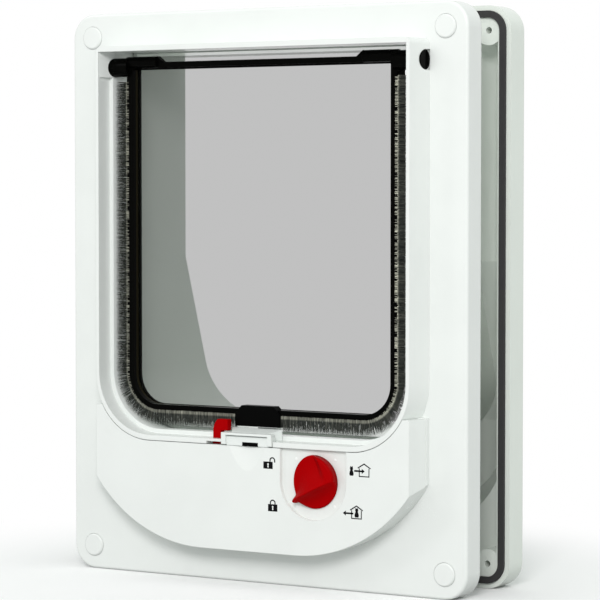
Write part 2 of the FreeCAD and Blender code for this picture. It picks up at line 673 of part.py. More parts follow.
def make_cover():
    """Hollow shield with the knob's dish, the thumb scoop and the latch slots."""
    body = new_body("cover_shell")
    base_half = "(island_half + island_flare * (1 - plinth_rise / island_rise))"
    inner_half = "(island_half + island_flare * cover_face / island_rise)"
    loft(body, "shell", [(COVER_BASE, cover_loop(base_half, "0")),
                         (ISLAND_FRONT, cover_loop("island_half", "0"))])
    loft(body, "inside", [(f"{COVER_BASE} + cover_gap", cover_loop(base_half, "cover_wall")),
                          (COVER_INNER, cover_loop(inner_half, "cover_wall"))], cut=True)
    top = "(-collar_low - cover_gap)"
    outer = "(dish_radius + dish_floor)"
    pad(body, "dish_back", "XZ_Plane", f"{COVER_INNER} - cover_face / 2", DISH_BACK,
        [channel_loop("knob_x", outer, f"-knob_down - {outer}", top)])
    pocket(body, "dish", "XZ_Plane", f"{ISLAND_FRONT} - past", DISH_FLOOR,
           [channel_loop("knob_x", "dish_radius", "-knob_down - dish_radius", "-collar_low + past")])
    pocket(body, "spindle_hole", "XZ_Plane", f"{ISLAND_FRONT} - past", f"{DISH_BACK} + past",
           rounds=[("knob_x", "-knob_down", "spindle_width + 2 * spindle_gap")])
    pocket(body, "latch_notch", "XZ_Plane", f"{FACE} - latch_front - latch_gap", f"{COVER_BASE} + past",
           [rectangle("-latch_left - latch_gap", "-latch_right + latch_gap",
                      f"{top} - 2 * cover_wall", "-collar_low + past")])
    tilt = math.atan2(value("thumb_deep"), value("thumb_high"))
    downwards = FreeCAD.Vector(0, -math.sin(tilt), -math.cos(tilt))
    scoop = doc.addObject("Part::Cylinder", "thumb_scoop")
    scoop.setExpression("Radius", tie("(thumb_half^2 + thumb_deep^2) / (2 * thumb_deep)"))
    scoop.setExpression("Height", tie("3 * thumb_high"))
    scoop.Placement = FreeCAD.Placement(
        FreeCAD.Vector(), FreeCAD.Rotation(FreeCAD.Vector(0, 0, 1), downwards))
    scoop.setExpression("Placement.Base.y", tie(
        f"{ISLAND_FRONT} + 2 * thumb_deep - (thumb_half^2 + thumb_deep^2) / (2 * thumb_deep)"))
    scoop.setExpression("Placement.Base.z", tie(f"{top} + thumb_high"))
    return cut("control_cover", body, scoop)


def make_catch_bracket():
    """White plate with a raised border on three sides and the cover's catch slot in its foot."""
    body = new_body("catch_bracket")
    foot = "(-collar_low + cover_gap)"
    low = "(-collar_low - cover_gap + bracket_seam)"
    inner = "(bracket_half - bracket_rim)"
    pad(body, "plate", "XZ_Plane", f"{FACE} - bracket_front", f"{FACE} - bracket_back", [[
        ("-bracket_half", foot),
        (f"-{inner}", foot),
        (f"-{inner}", low),
        ("-notch_left", low),
        ("-notch_left", f"{low} + notch_high"),
        ("notch_right", f"{low} + notch_high"),
        ("notch_right", low),
        (inner, low),
        (inner, foot),
        ("bracket_half", foot),
        ("bracket_half", "-bracket_top"),
        ("-bracket_half", "-bracket_top"),
    ]])
    pocket(body, "face", "XZ_Plane", f"{FACE} - bracket_front - past",
           f"{FACE} - bracket_front + bracket_rim / 2",
           [rectangle(f"-{inner}", inner, "-collar_low - past", "-bracket_top - bracket_rim / 2")])
    pocket(body, "border_line", "XZ_Plane", f"{FACE} - bracket_front",
           f"{FACE} - bracket_front + bracket_rim",
           [rectangle(f"-{inner}", inner, "-bracket_top - bracket_rim / 2 - bracket_line",
                      "-bracket_top - bracket_rim / 2")])
    return body


def make_flap():
    """One clear moulding: panel, rim, top bar, barrels, pivots."""
    body = new_body("flap_panel")
    low = "-rim_low"
    pad(body, "panel", "XZ_Plane", f"{FACE} + panel_front", f"{FACE} + panel_front + panel_thick",
        [plain_opening("rim_half - rim_wall / 2", f"{low} + rim_foot / 2", "panel_top",
                       "rim_corner - rim_wall / 2")])
    outer = plain_opening("rim_half", low, "bar_up + bar_thick", "rim_corner")
    inner = plain_opening("rim_half - rim_wall", f"{low} + rim_foot", "bar_up",
                          "rim_corner - rim_wall")
    pad(body, "rim", "XZ_Plane", f"{FACE} - rim_front", f"{FACE} + rim_back", [outer, inner])
    for side, first, last in (("left", f"-{SIDE_END}", "-rim_half + rim_wall / 2"),
                              ("right", "rim_half - rim_wall / 2", SIDE_END)):
        pad(body, f"pivot_{side}", "YZ_Plane", first, last,
            rounds=[(AXIS_Y, "axis_up", "pivot_width")])
    for side, first, last in (("left", "-rim_half", "-barrel_start"),
                              ("right", "barrel_start", "rim_half")):
        pad(body, f"barrel_{side}", "YZ_Plane", first, last,
            rounds=[(AXIS_Y, "barrel_up", "barrel_width")])
    for side, first, last in (("left", "-barrel_start", "-shoulder_start"),
                              ("right", "shoulder_start", "barrel_start")):
        thick = "(barrel_width / 2)"
        slope = [(first, "bar_up + bar_thick"), (last, "bar_up + bar_thick"),
                 (first if side == "left" else last, f"barrel_up + {thick}")]
        pad(body, f"shoulder_{side}", "XZ_Plane", f"{AXIS_Y} - {thick} / 2",
            f"{AXIS_Y} + {thick} / 2", [slope])
    return body


def make_pile():
    """Brush strip round the rim's two sides and bottom, shorter over the catch parts."""
    body = new_body("pile_seal")
    start, end = f"{PILE_Y} - pile_thick / 2", f"{PILE_Y} + pile_thick / 2"
    grow_corner = "rim_corner + pile_reach"
    outer = plain_opening("rim_half + pile_reach", "-rim_low - pile_foot", "pile_top", grow_corner)
    pad(body, "strip", "XZ_Plane", start, end, [outer])
    pocket(body, "round_rim", "XZ_Plane", f"{start} - past", f"{end} + past",
           [plain_opening("rim_half", "-rim_low", "pile_top + past", "rim_corner")])
    pocket(body, "over_latch", "XZ_Plane", f"{start} - past", f"{end} + past",
           [rectangle("-latch_left - pile_room", "keeper_half + pile_room", "-rim_low - pile_foot - past",
                      "-rim_low - pile_short")])
    pocket(body, "over_holder", "XZ_Plane", f"{start} - past", f"{end} + past",
           [rectangle("-block_half - cover_gap", "block_half + cover_gap", "-rim_low - pile_foot - past",
                      "-rim_low + past")])
    return body


def make_magnet_holder():
    """Black block hooked over the rim's foot, with a pocket for the magnet."""
    body = new_body("magnet_holder")
    back = f"{FACE} + rim_back"
    pad(body, "block", "XZ_Plane", f"{FACE} - block_front", back,
        [[("-block_half", "-block_low"), ("block_half", "-block_low"),
          ("block_half", "-block_top - block_shoulder"), ("block_half - block_shoulder", "-block_top"),
          ("-block_half + block_shoulder", "-block_top"),
          ("-block_half", "-block_top - block_shoulder")]])
    pocket(body, "rim_seat", "XZ_Plane", f"{FACE} - rim_front", f"{back} + past",
           [rectangle("-block_half - past", "block_half + past", "-rim_low", "-rim_low + rim_foot")])
    pocket(body, "panel_seat", "XZ_Plane", f"{FACE} + panel_front", f"{back} + past",
           [rectangle("-block_half - past", "block_half + past", "-rim_low", "-block_top + past")])
    pocket(body, "magnet_pocket", "XY_Plane", "-rim_low - magnet_high",
           "-rim_low + rim_foot / 2",
           [rectangle("-magnet_long / 2", "magnet_long / 2", f"{FACE} - magnet_deep / 2",
                      f"{FACE} + magnet_deep / 2")])
    magnet = box("flap_magnet", "-magnet_long / 2", f"{FACE} - magnet_deep / 2",
                 "-rim_low - magnet_high", "magnet_long", "magnet_deep", "magnet_high")
    return [body, magnet]


def make_sill_magnet():
    """White housing on the collar's floor under the flap's magnet, and the magnet in it."""
    body = new_body("magnet_housing")
    wall = "(cover_wall / 2)"
    front, back = f"({FACE} - keeper_front)", f"({FACE} - keeper_back)"
    top = f"({COLLAR_FLOOR} + keeper_high)"
    nose = "(keeper_half - keeper_lean)"
    inner = f"({nose} - {wall})"
    pad(body, "shell", "XY_Plane", COLLAR_FLOOR, top,
        [[(f"-{nose}", front), (nose, front), ("keeper_half", back), ("-keeper_half", back)]])
    pocket(body, "slope", "YZ_Plane", "-keeper_half - past", "keeper_half + past", [[
        (f"{front} - past", f"{top} - keeper_slope"),
        (front, f"{top} - keeper_slope"),
        (back, top),
        (back, f"{top} + past"),
        (f"{front} - past", f"{top} + past"),
    ]])
    room = f"({top} - keeper_slope - {wall})"
    pocket(body, "hollow", "XY_Plane", COLLAR_FLOOR, room,
           [rectangle(f"-{inner}", inner, f"{front} + {wall}", f"{back} - {wall}")])
    magnet = box("sill_magnet", f"-{inner}", f"{front} + {wall}", COLLAR_FLOOR, f"2 * {inner}",
                 f"keeper_front - keeper_back - 2 * {wall}", f"{room} - {COLLAR_FLOOR}")
    return [body, magnet]


def make_latches():
    """Red entry latch in front of the flap and white exit latch behind it, both resting low."""
    entry = new_body("entry_latch")
    front = f"{FACE} - latch_front"
    pad(entry, "plate", "XZ_Plane", front, f"{front} + latch_thick", [[
        ("-latch_left", "-latch_foot"),
        ("knob_x + cam_radius", "-latch_foot"),
        ("knob_x + cam_radius", "-latch_foot + foot_high"),
        ("-latch_right", "-latch_foot + foot_high"),
        ("-latch_right", "-latch_top - latch_nose"),
        ("-latch_arm", "-latch_top - latch_nose"),
        ("-latch_arm", "-latch_top"),
        ("-latch_left + latch_lean", "-latch_top",
         "((latch_lean^2 + latch_curl^2) / (2 * latch_lean))", 1),
        ("-latch_left", "-latch_top - latch_curl"),
    ]])
    leave = new_body("exit_latch")
    front = f"{FACE} + exit_front"
    pad(leave, "plate", "XZ_Plane", front, f"{front} + latch_thick", [[
        ("-exit_half", "-latch_foot"),
        ("knob_x + cam_radius", "-latch_foot"),
        ("knob_x + cam_radius", "-latch_foot + foot_high"),
        ("exit_half", "-latch_foot + foot_high"),
        ("exit_half", "-exit_top"),
        ("-exit_half", "-exit_top"),
    ]])
    return [entry, leave]


def beside_knob(along, across):
    """X and Z of a place given along the ridge and square to it, from the knob's centre."""
    turn = "(ridge_angle * 1deg)"
    return (f"(knob_x + ({along}) * cos({turn}) - ({across}) * sin({turn}))",
            f"(-knob_down + ({along}) * sin({turn}) + ({across}) * cos({turn}))")


def knob_hollow(kind, name, sizes, degrees, along, across, y):
    """A rounded tool for one of the knob's hollows, turned about the knob's axis."""
    tool = doc.addObject(kind, name)
    for size, text in sizes.items():
        tool.setExpression(size, tie(text))
    tool.Placement = FreeCAD.Placement(
        FreeCAD.Vector(), FreeCAD.Rotation(FreeCAD.Vector(0, 1, 0), degrees))
    x, z = beside_knob(along, across)
    for axis, text in zip("xyz", (x, y, z)):
        tool.setExpression(f"Placement.Base.{axis}", tie(text))
    return tool


def make_knob():
    """Red knob with a ridge between two hollows and a pointer, on a spindle with a cam drum."""
    drum = rod("knob_drum", "Y", "knob_x", KNOB_FRONT, "-knob_down", "knob_rise",
               "knob_width / 2 - knob_taper", "knob_width / 2")
    lean = value("ridge_angle")
    bowl_reach = "(bowl_wide * sqrt(1 - ((bowl_round - bowl_depth) / bowl_round)^2))"
    bowl = knob_hollow("Part::Ellipsoid", "knob_bowl",
                       {"Radius1": "bowl_wide", "Radius2": "bowl_long", "Radius3": "bowl_round"},
                       -lean, "-bowl_shift", f"-ridge_off + ridge_half + {bowl_reach}",
                       f"{KNOB_FRONT} - bowl_round + bowl_depth")
    cove_reach = "sqrt(cove_radius^2 - (cove_radius - cove_depth)^2)"
    cove = knob_hollow("Part::Cylinder", "knob_cove",
                       {"Radius": "cove_radius", "Height": "2 * knob_width"},
                       90 - lean, "-knob_width", f"-ridge_off - ridge_half - {cove_reach}",
                       f"{KNOB_FRONT} - cove_radius + cove_depth")
    hollowed = cut("knob_hollowed", drum, bowl, cove)
    pointer = doc.addObject("Part::Wedge", "knob_pointer")
    for prop, text in (("Xmin", "0"), ("Xmax", "2 * ridge_half"), ("X2min", "0"),
                       ("X2max", "2 * ridge_half"), ("Ymin", "0"),
                       ("Ymax", "pointer_reach - ridge_half"), ("Zmin", "0"), ("Zmax", "knob_rise"),
                       ("Z2min", "0"), ("Z2max", "pointer_high")):
        pointer.setExpression(prop, tie(text))
    pointer.Placement = FreeCAD.Placement(FreeCAD.Vector(), pointer_rotation())
    x, z = beside_knob("0", "-ridge_off - ridge_half")
    for axis, text in zip("xyz", (x, KNOB_FOOT, z)):
        pointer.setExpression(f"Placement.Base.{axis}", tie(text))
    x, z = beside_knob("-pointer_reach + ridge_half", "-ridge_off")
    tip = rod("knob_tip", "Y", x, f"{KNOB_FOOT} - pointer_high", z, "pointer_high", "ridge_half")
    knob = fuse("lock_knob", hollowed, pointer, tip)
    spindle = rod("knob_spindle", "Y", "knob_x", KNOB_FOOT, "-knob_down",
                  "2 * knob_lift + dish_floor", "spindle_width / 2")
    start = f"({DISH_BACK} + knob_lift)"
    cam = rod("lock_cam", "Y", "knob_x", start, "-knob_down", f"{FACE} + cam_back - {start}",
              "cam_radius")
    return [knob, spindle, cam]


def pointer_rotation():
    """Turns a wedge so that its length points down the ridge and its height into the room."""
    lean = math.radians(value("ridge_angle"))
    across = FreeCAD.Vector(-math.sin(lean), 0, math.cos(lean))
    along = FreeCAD.Vector(-math.cos(lean), 0, -math.sin(lean))
    out = FreeCAD.Vector(0, -1, 0)
    return FreeCAD.Rotation(across, along, out, "XYZ")


def make_mechanism():
    """Battery, snap connector, board, coil, armature and collar sensor in the bay."""
    pieces = []
    cell = new_body("block_battery")
    left = "(-bay_half + cell_gap)"
    low = "(-bay_low + cell_gap)"
    back = f"({BAY_FLOOR})"
    pad(cell, "case", "XZ_Plane", f"{back} - cell_deep", back,
        [rectangle(left, f"{left} + cell_long", low, f"{low} + cell_high")])
    round_edges(cell, "corners", "cell_corner",
                lambda e: e.BoundBox.XLength < NEAR and e.BoundBox.ZLength < NEAR)
    pieces.append(cell)
    pieces.append(box("battery_snap", f"{left} + cell_long", f"{back} - cell_deep + cell_corner",
                      f"{low} + cell_corner", "snap_thick", "cell_deep - 2 * cell_corner",
                      "cell_high - 2 * cell_corner"))
    board = new_body("circuit_board")
    top = "(-latch_foot - latch_gap)"
    pad(board, "card", "XZ_Plane", BOARD_FRONT, f"{BOARD_FRONT} + board_thick",
        [rectangle("board_left", "bay_half - cell_gap", "-bay_low + cell_gap", top)])
    pocket(board, "cam_hole", "XZ_Plane", f"{BOARD_FRONT} - past", f"{BOARD_FRONT} + board_thick + past",
           rounds=[("knob_x", "-knob_down", "2 * cam_radius + 2 * cell_gap")])
    pieces.append(board)
    centre_y = f"({BOARD_FRONT} - coil_flange / 2)"
    bottom = "(-coil_low)"
    bobbin_parts = [
        box("bobbin_foot", "coil_x - coil_flange / 2", f"{centre_y} - coil_flange / 2", bottom,
            "coil_flange", "coil_flange", "flange_thick"),
        box("bobbin_head", "coil_x - coil_flange / 2", f"{centre_y} - coil_flange / 2",
            f"{bottom} + coil_high - flange_thick", "coil_flange", "coil_flange", "flange_thick"),
        rod("bobbin_tube", "Z", "coil_x", centre_y, bottom, "coil_high",
            "core_width / 2 + flange_thick"),
    ]
    bobbin_bore = rod("bobbin_bore", "Z", "coil_x", centre_y, f"{bottom} - past", "coil_high + 2",
                      "core_width / 2")
    pieces.append(cut("coil_bobbin", fuse("bobbin_solid", *bobbin_parts), bobbin_bore))
    winding = rod("winding_block", "Z", "coil_x", centre_y, f"{bottom} + flange_thick",
                  "coil_high - 2 * flange_thick", "coil_width / 2")
    winding_bore = rod("winding_bore", "Z", "coil_x", centre_y, bottom, "coil_high",
                       "core_width / 2 + flange_thick")
    pieces.append(cut("coil_winding", winding, winding_bore))
    pieces.append(rod("coil_core", "Z", "coil_x", centre_y, bottom, "coil_high / 2 - armature_gap",
                      "core_width / 2"))
    gap_top = f"({bottom} + coil_high + armature_gap)"
    plunger = rod("armature_plunger", "Z", "coil_x", centre_y, f"{bottom} + coil_high / 2",
                  "coil_high / 2 + armature_gap", "core_width / 2 - plunger_gap")
    plate = box("armature_plate", "coil_x - coil_flange / 2", f"{centre_y} - core_width / 2",
                gap_top, "coil_flange", "core_width", "armature_thick")
    stem = rod("armature_stem", "Z", "coil_x + coil_flange / 2 - core_width / 2", centre_y,
               gap_top, f"-latch_foot - latch_gap - {gap_top}", "core_width / 4")
    pieces.append(fuse("catch_armature", plate, plunger, stem))
    pieces.append(rod("collar_sensor", "X", "-bay_half / 2 - sensor_long / 2",
                      f"{FACE} + ring_reach + sensor_width / 2",
                      f"{low} + cell_high + sensor_width / 2", "sensor_long", "sensor_width / 2"))
    return pieces


def make_outer_frame():
    """Hollow outdoor frame with its liner, sloping cheeks, gasket groove and pilot bosses."""
    body = new_body("outer_frame")
    edge = opening_loop("frame_width / 2", "-frame_height / 2", "frame_height / 2",
                        "frame_corner", "frame_corner")
    pad(body, "face_block", "XZ_Plane", OUTER_FRONT, OUTER_BACK, [edge])
    back = value(OUTER_BACK)
    round_edges(body, "face_edge", "frame_edge", lambda e: at_depth(e, back))
    loft(body, "porch", [(f"{OUTER_BACK} - frame_wall / 2", porch_loop("0", "0")),
                         (f"{OUTER_BACK} + porch_rise", porch_loop("1", "0"))])
    slope_cut(body, "0")
    band = "(gasket_inset + gasket_width + gasket_lip)"
    hollow = opening_loop(f"frame_width / 2 - {band}", f"-frame_height / 2 + {band}",
                          f"frame_height / 2 - {band}", f"frame_corner - {band}",
                          f"frame_corner - {band}")
    pocket(body, "front_hollow", "XZ_Plane", f"{OUTER_FRONT} - past", f"{OUTER_BACK} - frame_wall",
           [hollow])
    hollow_porch(body)
    pad(body, "liner", "XZ_Plane", f"{OUTER_FRONT} - liner_reach", f"{OUTER_BACK} - frame_wall / 2",
        [tunnel_loop(LINER_OUT)])
    pocket(body, "tunnel", "XZ_Plane", f"{OUTER_FRONT} - liner_reach - past",
           f"{OUTER_BACK} + porch_rise + past", [tunnel_loop("0")])
    inset = "gasket_inset"
    ring = "(gasket_inset + gasket_width)"
    groove = f"{OUTER_FRONT} + gasket_deep - gasket_proud"
    screws = [(f"{sx}{SCREW_X}", f"{sz}{SCREW_Z}") for sx in ("-", "") for sz in ("-", "")]
    pad(body, "pilot_bosses", "XZ_Plane", OUTER_FRONT, f"{OUTER_BACK} - frame_wall / 2",
        rounds=[(x, z, "pilot_boss") for x, z in screws])
    pocket(body, "gasket_groove", "XZ_Plane", f"{OUTER_FRONT} - past", groove,
           [frame_ring(inset), frame_ring(ring)])
    pocket(body, "pilot_holes", "XZ_Plane", f"{OUTER_FRONT} - past", f"{OUTER_BACK} - frame_wall",
           rounds=[(x, z, "pilot_hole") for x, z in screws])
    gasket = new_body("door_gasket")
    pad(gasket, "strip", "XZ_Plane", f"{OUTER_FRONT} - gasket_proud", groove,
        [frame_ring(inset), frame_ring(ring)])
    return [body, gasket]


def frame_ring(inset):
    """The frame's outline, moved inwards."""
    return opening_loop(f"frame_width / 2 - ({inset})", f"-frame_height / 2 + ({inset})",
                        f"frame_height / 2 - ({inset})", f"frame_corner - ({inset})",
                        f"frame_corner - ({inset})")


def porch_loop(lean, inset):
    """The raised outdoor part's outline, lean 0 at its foot and 1 at its end, moved inwards."""
    half = f"({TUNNEL_HALF} + liner_wall + porch_side - porch_draft * {lean} - {inset})"
    low = f"({TUNNEL_FLOOR} - liner_wall - porch_low + porch_rake * {lean} + {inset})"
    high = f"({CEILING} + liner_wall + porch_high - {inset})"
    return plain_opening(half, low, high, f"(porch_corner - {inset})")


def slope_cut(body, inset):
    """Cuts the cheeks to their slope, moved into the material by the inset."""
    top = f"({OUTER_BACK} + porch_step - ({inset}))"
    sill = f"({OUTER_BACK} + porch_rise - ({inset}))"
    sill_z = f"({TUNNEL_FLOOR} + porch_sill)"
    pocket(body, "cheek_slope", "YZ_Plane", "-frame_width / 2", "frame_width / 2", [[
        (top, "frame_height / 2"),
        (top, f"{CEILING} - porch_bend"),
        (sill, sill_z),
        (f"{sill} + porch_rise", sill_z),
        (f"{sill} + porch_rise", "frame_height / 2"),
    ]])


def hollow_porch(body):
    """Opens the sill and the cheeks from the door side, one wall thick."""
    core = new_body("porch_core")
    pad(core, "foot", "XZ_Plane", f"{OUTER_BACK} - 2 * frame_wall", f"{OUTER_BACK} - frame_wall / 2",
        [porch_loop("0", "frame_wall")])
    loft(core, "block", [(f"{OUTER_BACK} - frame_wall / 2", porch_loop("0", "frame_wall")),
                         (f"{OUTER_BACK} + porch_rise - frame_wall", porch_loop("1", "frame_wall"))])
    pocket(core, "liner_room", "XZ_Plane", f"{OUTER_BACK} - 3 * frame_wall",
           f"{OUTER_BACK} + porch_rise", [tunnel_loop(LINER_OUT)])
    slope_cut(core, "frame_wall")
    before = body.Shape.Volume
    hollow = body.newObject("PartDesign::Boolean", "porch_hollow")
    hollow.Type = "Cut"
    hollow.setObjects([core])
    doc.recompute()
    if body.Shape.Volume > before - LEAST_CUT:
        raise RuntimeError("the porch stays solid")


def main():
    os.makedirs("parts", exist_ok=True)
    nodes = [make_inner_frame(), *make_hinge_clips(), *make_screw_caps(), make_cover(),
             make_catch_bracket(), make_flap(), make_pile(), *make_magnet_holder(),
             *make_sill_magnet(), *make_latches(), *make_knob(), *make_mechanism(),
             *make_outer_frame()]
    doc.recompute()
    bad = [item.Name for item in doc.Objects if {"Invalid", "Error"} & set(item.State)]
    if bad:
        raise RuntimeError(f"failed objects: {bad}")
    for node in nodes:
        node.Label = node.Name
        shape = node.Shape
        if shape.isNull() or not shape.isValid():
            raise RuntimeError(f"{node.Label} has no valid shape")
        print(f"{node.Label:18s} solids {len(shape.Solids)} faces {len(shape.Faces):4d}"
              f" volume {shape.Volume:10.1f} mm3")
    for node in nodes:
        node.Shape.exportStep(f"parts/{node.Label}.step")


main()
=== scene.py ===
"""Finish of a cat flap: mouldings, smoked flap, brush seal, printed signs and studio.

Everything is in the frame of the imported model: +X to the right seen from the room, +Y outdoors,
+Z up, with the origin at the centre of the screw pattern behind the inner frame. Sizes are written
in millimetres and turned into metres by MM.
"""

import json
import logging
import math
from dataclasses import dataclass
from enum import Enum

import bmesh
import bpy
import numpy as np
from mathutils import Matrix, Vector

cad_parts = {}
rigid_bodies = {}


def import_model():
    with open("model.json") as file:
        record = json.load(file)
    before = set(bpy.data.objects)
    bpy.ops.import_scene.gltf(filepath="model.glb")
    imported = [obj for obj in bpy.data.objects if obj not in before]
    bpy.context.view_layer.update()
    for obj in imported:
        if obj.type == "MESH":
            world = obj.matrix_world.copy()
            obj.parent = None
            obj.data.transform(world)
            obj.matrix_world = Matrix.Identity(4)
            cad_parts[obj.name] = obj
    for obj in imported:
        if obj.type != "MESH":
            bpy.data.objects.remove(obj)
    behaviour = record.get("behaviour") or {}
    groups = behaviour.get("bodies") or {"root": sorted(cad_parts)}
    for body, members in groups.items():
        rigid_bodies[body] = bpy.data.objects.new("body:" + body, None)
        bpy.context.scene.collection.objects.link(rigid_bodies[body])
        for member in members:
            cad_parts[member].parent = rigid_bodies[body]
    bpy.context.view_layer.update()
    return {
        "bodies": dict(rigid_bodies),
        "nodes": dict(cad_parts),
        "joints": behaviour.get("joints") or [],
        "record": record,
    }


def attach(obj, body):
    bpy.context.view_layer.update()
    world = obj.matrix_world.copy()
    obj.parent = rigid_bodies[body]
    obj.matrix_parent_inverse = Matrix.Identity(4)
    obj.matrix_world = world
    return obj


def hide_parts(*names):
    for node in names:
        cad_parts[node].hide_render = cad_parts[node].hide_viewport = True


LOG = logging.getLogger("cat_flap")
MM = 0.001

Colour = tuple[float, float, float]
Loop = np.ndarray


class Body(str, Enum):
    """The rigid bodies that new pieces ride on."""

    FRAME = "frame"
    FLAP = "flap"
    COVER = "cover"
    KNOB = "knob"


class Slot(str, Enum):
    """The record's material slots that new pieces take their finish from."""

    WHITE = "white_shell"
    FIBRE = "brush_fibre"
    BLACK = "black_plastic"
    RED = "red_plastic"


class Signal:
    """A socket whose value varies over a surface, with the arithmetic that shaders need."""

    def __init__(self, tree: "Tree", socket: bpy.types.NodeSocket) -> None:
        """Wraps a socket.

        Args:
            tree: The material tree that the socket belongs to.
            socket: An output socket of one of its nodes.
        """
        self.tree = tree
        self.socket = socket

    def _combine(self, operation: str, *values: "Signal | float") -> "Signal":
        """Adds one Math node and wraps its result."""
        return self.tree.node("ShaderNodeMath", {"operation": operation},
                              dict(enumerate(values)))

    def __add__(self, other: "Signal | float") -> "Signal":
        """Sum."""
        return self._combine("ADD", self, other)

    def __radd__(self, other: float) -> "Signal":
        """Sum with a number on the left."""
        return self._combine("ADD", other, self)

    def __sub__(self, other: "Signal | float") -> "Signal":
        """Difference."""
        return self._combine("SUBTRACT", self, other)

    def __rsub__(self, other: float) -> "Signal":
        """Difference from a number."""
        return self._combine("SUBTRACT", other, self)

    def __mul__(self, other: "Signal | float") -> "Signal":
        """Product."""
        return self._combine("MULTIPLY", self, other)

    def __rmul__(self, other: float) -> "Signal":
        """Product with a number on the left."""
        return self._combine("MULTIPLY", other, self)

    def __gt__(self, other: "Signal | float") -> "Signal":
        """One where this is greater, else zero."""
        return self._combine("GREATER_THAN", self, other)

    def __lt__(self, other: "Signal | float") -> "Signal":
        """One where this is less, else zero."""
        return self._combine("LESS_THAN", self, other)

    def __abs__(self) -> "Signal":
        """Size without its sign."""
        return self._combine("ABSOLUTE", self)

    def most(self, other: "Signal | float") -> "Signal":
        """The greater of two."""
        return self._combine("MAXIMUM", self, other)

    def least(self, other: "Signal | float") -> "Signal":
        """The smaller of two."""
        return self._combine("MINIMUM", self, other)

    def root(self) -> "Signal":
        """Square root."""
        return self._combine("SQRT", self)

    def wave(self) -> "Signal":
        """Sine of the value in radians."""
        return self._combine("SINE", self)

    def ramp(self, low: float, high: float) -> "Signal":
        """Nought below low, one above high and a smooth step between.

        Args:
            low: Value where the step starts.
            high: Value where the step ends.

        Returns:
            The step.
        """
        settings = {"interpolation_type": "SMOOTHSTEP", "clamp": True}
        return self.tree.node("ShaderNodeMapRange", settings,
                              {"Value": self, "From Min": low, "From Max": high})


class Tree:
    """The node tree of one material or of the world."""

    def __init__(self, nodes: bpy.types.Nodes, links: bpy.types.NodeLinks) -> None:
        """Empties the tree.

        Args:
            nodes: The tree's nodes.
            links: The tree's links.
        """
        self.nodes = nodes
        self.links = links
        self.nodes.clear()

    def node(self, kind: str, settings: dict | None = None, inputs: dict | None = None,
             output: int | str = 0) -> Signal:
        """Adds one node.

        Args:
            kind: The node's type.
            settings: Its properties, set before its sockets.
            inputs: Values, colours or signals for its sockets, by name or number.
            output: Which output to wrap.

        Returns:
            The output.
        """
        node = self.nodes.new(kind)
        for name, setting in (settings or {}).items():
            setattr(node, name, setting)
        for name, content in (inputs or {}).items():
            socket = node.inputs[name]
            if isinstance(content, Signal):
                self.links.new(content.socket, socket)
            elif isinstance(content, tuple) and socket.type == "RGBA":
                socket.default_value = (*content, 1.0)
            else:
                socket.default_value = content
        return Signal(self, node.outputs[output])

    def outputs(self, kind: str, inputs: dict | None, *names: str) -> tuple[Signal, ...]:
        """Adds one node and wraps several of its outputs.

        Args:
            kind: The node's type.
            inputs: Values or signals for its sockets.
            names: The outputs wanted.

        Returns:
            Those outputs.
        """
        first = self.node(kind, inputs=inputs)
        return tuple(Signal(self, first.socket.node.outputs[name]) for name in names)

    def close(self, shader: Signal, kind: str = "ShaderNodeOutputMaterial") -> None:
        """Links a shader to the tree's output."""
        output = self.nodes.new(kind)
        self.links.new(shader.socket, output.inputs["Surface"])

    def place(self) -> Signal:
        """Object coordinates."""
        return self.node("ShaderNodeTexCoord", output="Object")

    def axes(self) -> tuple[Signal, ...]:
        """Object coordinates in metres, one signal an axis."""
        return self.outputs("ShaderNodeSeparateXYZ", {0: self.place()}, "X", "Y", "Z")

    def noise(self, scale: float, detail: float = 2.0) -> Signal:
        """Noise of a given number of cells a metre, about 0.5 on average.

        Args:
            scale: Cells a metre.
            detail: Octaves.

        Returns:
            The noise.
        """
        inputs = {"Vector": self.place(), "Scale": scale, "Detail": detail}
        return self.node("ShaderNodeTexNoise", inputs=inputs)

    def cells(self, scale: float) -> Signal:
        """Distance from the middle of the nearest of a given number of cells a metre."""
        return self.node("ShaderNodeTexVoronoi", inputs={"Vector": self.place(), "Scale": scale})

    def blend(self, factor: Signal | float, first: Signal | Colour,
              second: Signal | Colour) -> Signal:
        """A colour between two.

        Args:
            factor: Nought for the first colour, one for the second.
            first: A colour.
            second: A colour.

        Returns:
            The mixed colour.
        """
        inputs = {"Factor": factor, 6: first, 7: second}
        return self.node("ShaderNodeMix", {"data_type": "RGBA"}, inputs, 2)

    def bump(self, height: Signal, distance: float, strength: float = 1.0,
             normal: Signal | None = None) -> Signal:
        """A normal from a height.

        Args:
            height: The height, nought to one.
            distance: What one stands for, in metres.
            strength: How much of it shows.
            normal: A normal to start from.

        Returns:
            The normal.
        """
        inputs = {"Height": height, "Distance": distance, "Strength": strength}
        if normal:
            inputs["Normal"] = normal
        return self.node("ShaderNodeBump", inputs=inputs)

    def soft_edge(self, radius: float) -> Signal:
        """The normal with edges rounded to a radius."""
        return self.node("ShaderNodeBevel", {"samples": 4}, {"Radius": radius})


def shade(colour: Colour, share: float) -> Colour:
    """A colour times a number."""
    return tuple(channel * share for channel in colour)


@dataclass(frozen=True)
class Finish:
    """A surface finish. A subclass says what varies over it."""

    name: str
    colour: Colour
    roughness: float = 0.3
    gloss: float = 0.5

    def sockets(self, tree: Tree) -> dict:
        """Values and signals for the shader's sockets."""
        return {"Base Color": self.colour, "Roughness": self.roughness}

    def material(self) -> bpy.types.Material:
        """Makes the material, or returns it where it is made already."""
        made = bpy.data.materials.get(self.name)
        if made:
            return made
        made = bpy.data.materials.new(self.name)
        made.use_nodes = True
        tree = Tree(made.node_tree.nodes, made.node_tree.links)
        inputs = {"Specular IOR Level": self.gloss, **self.sockets(tree)}
        tree.close(tree.node("ShaderNodeBsdfPrincipled", inputs=inputs))
        return made


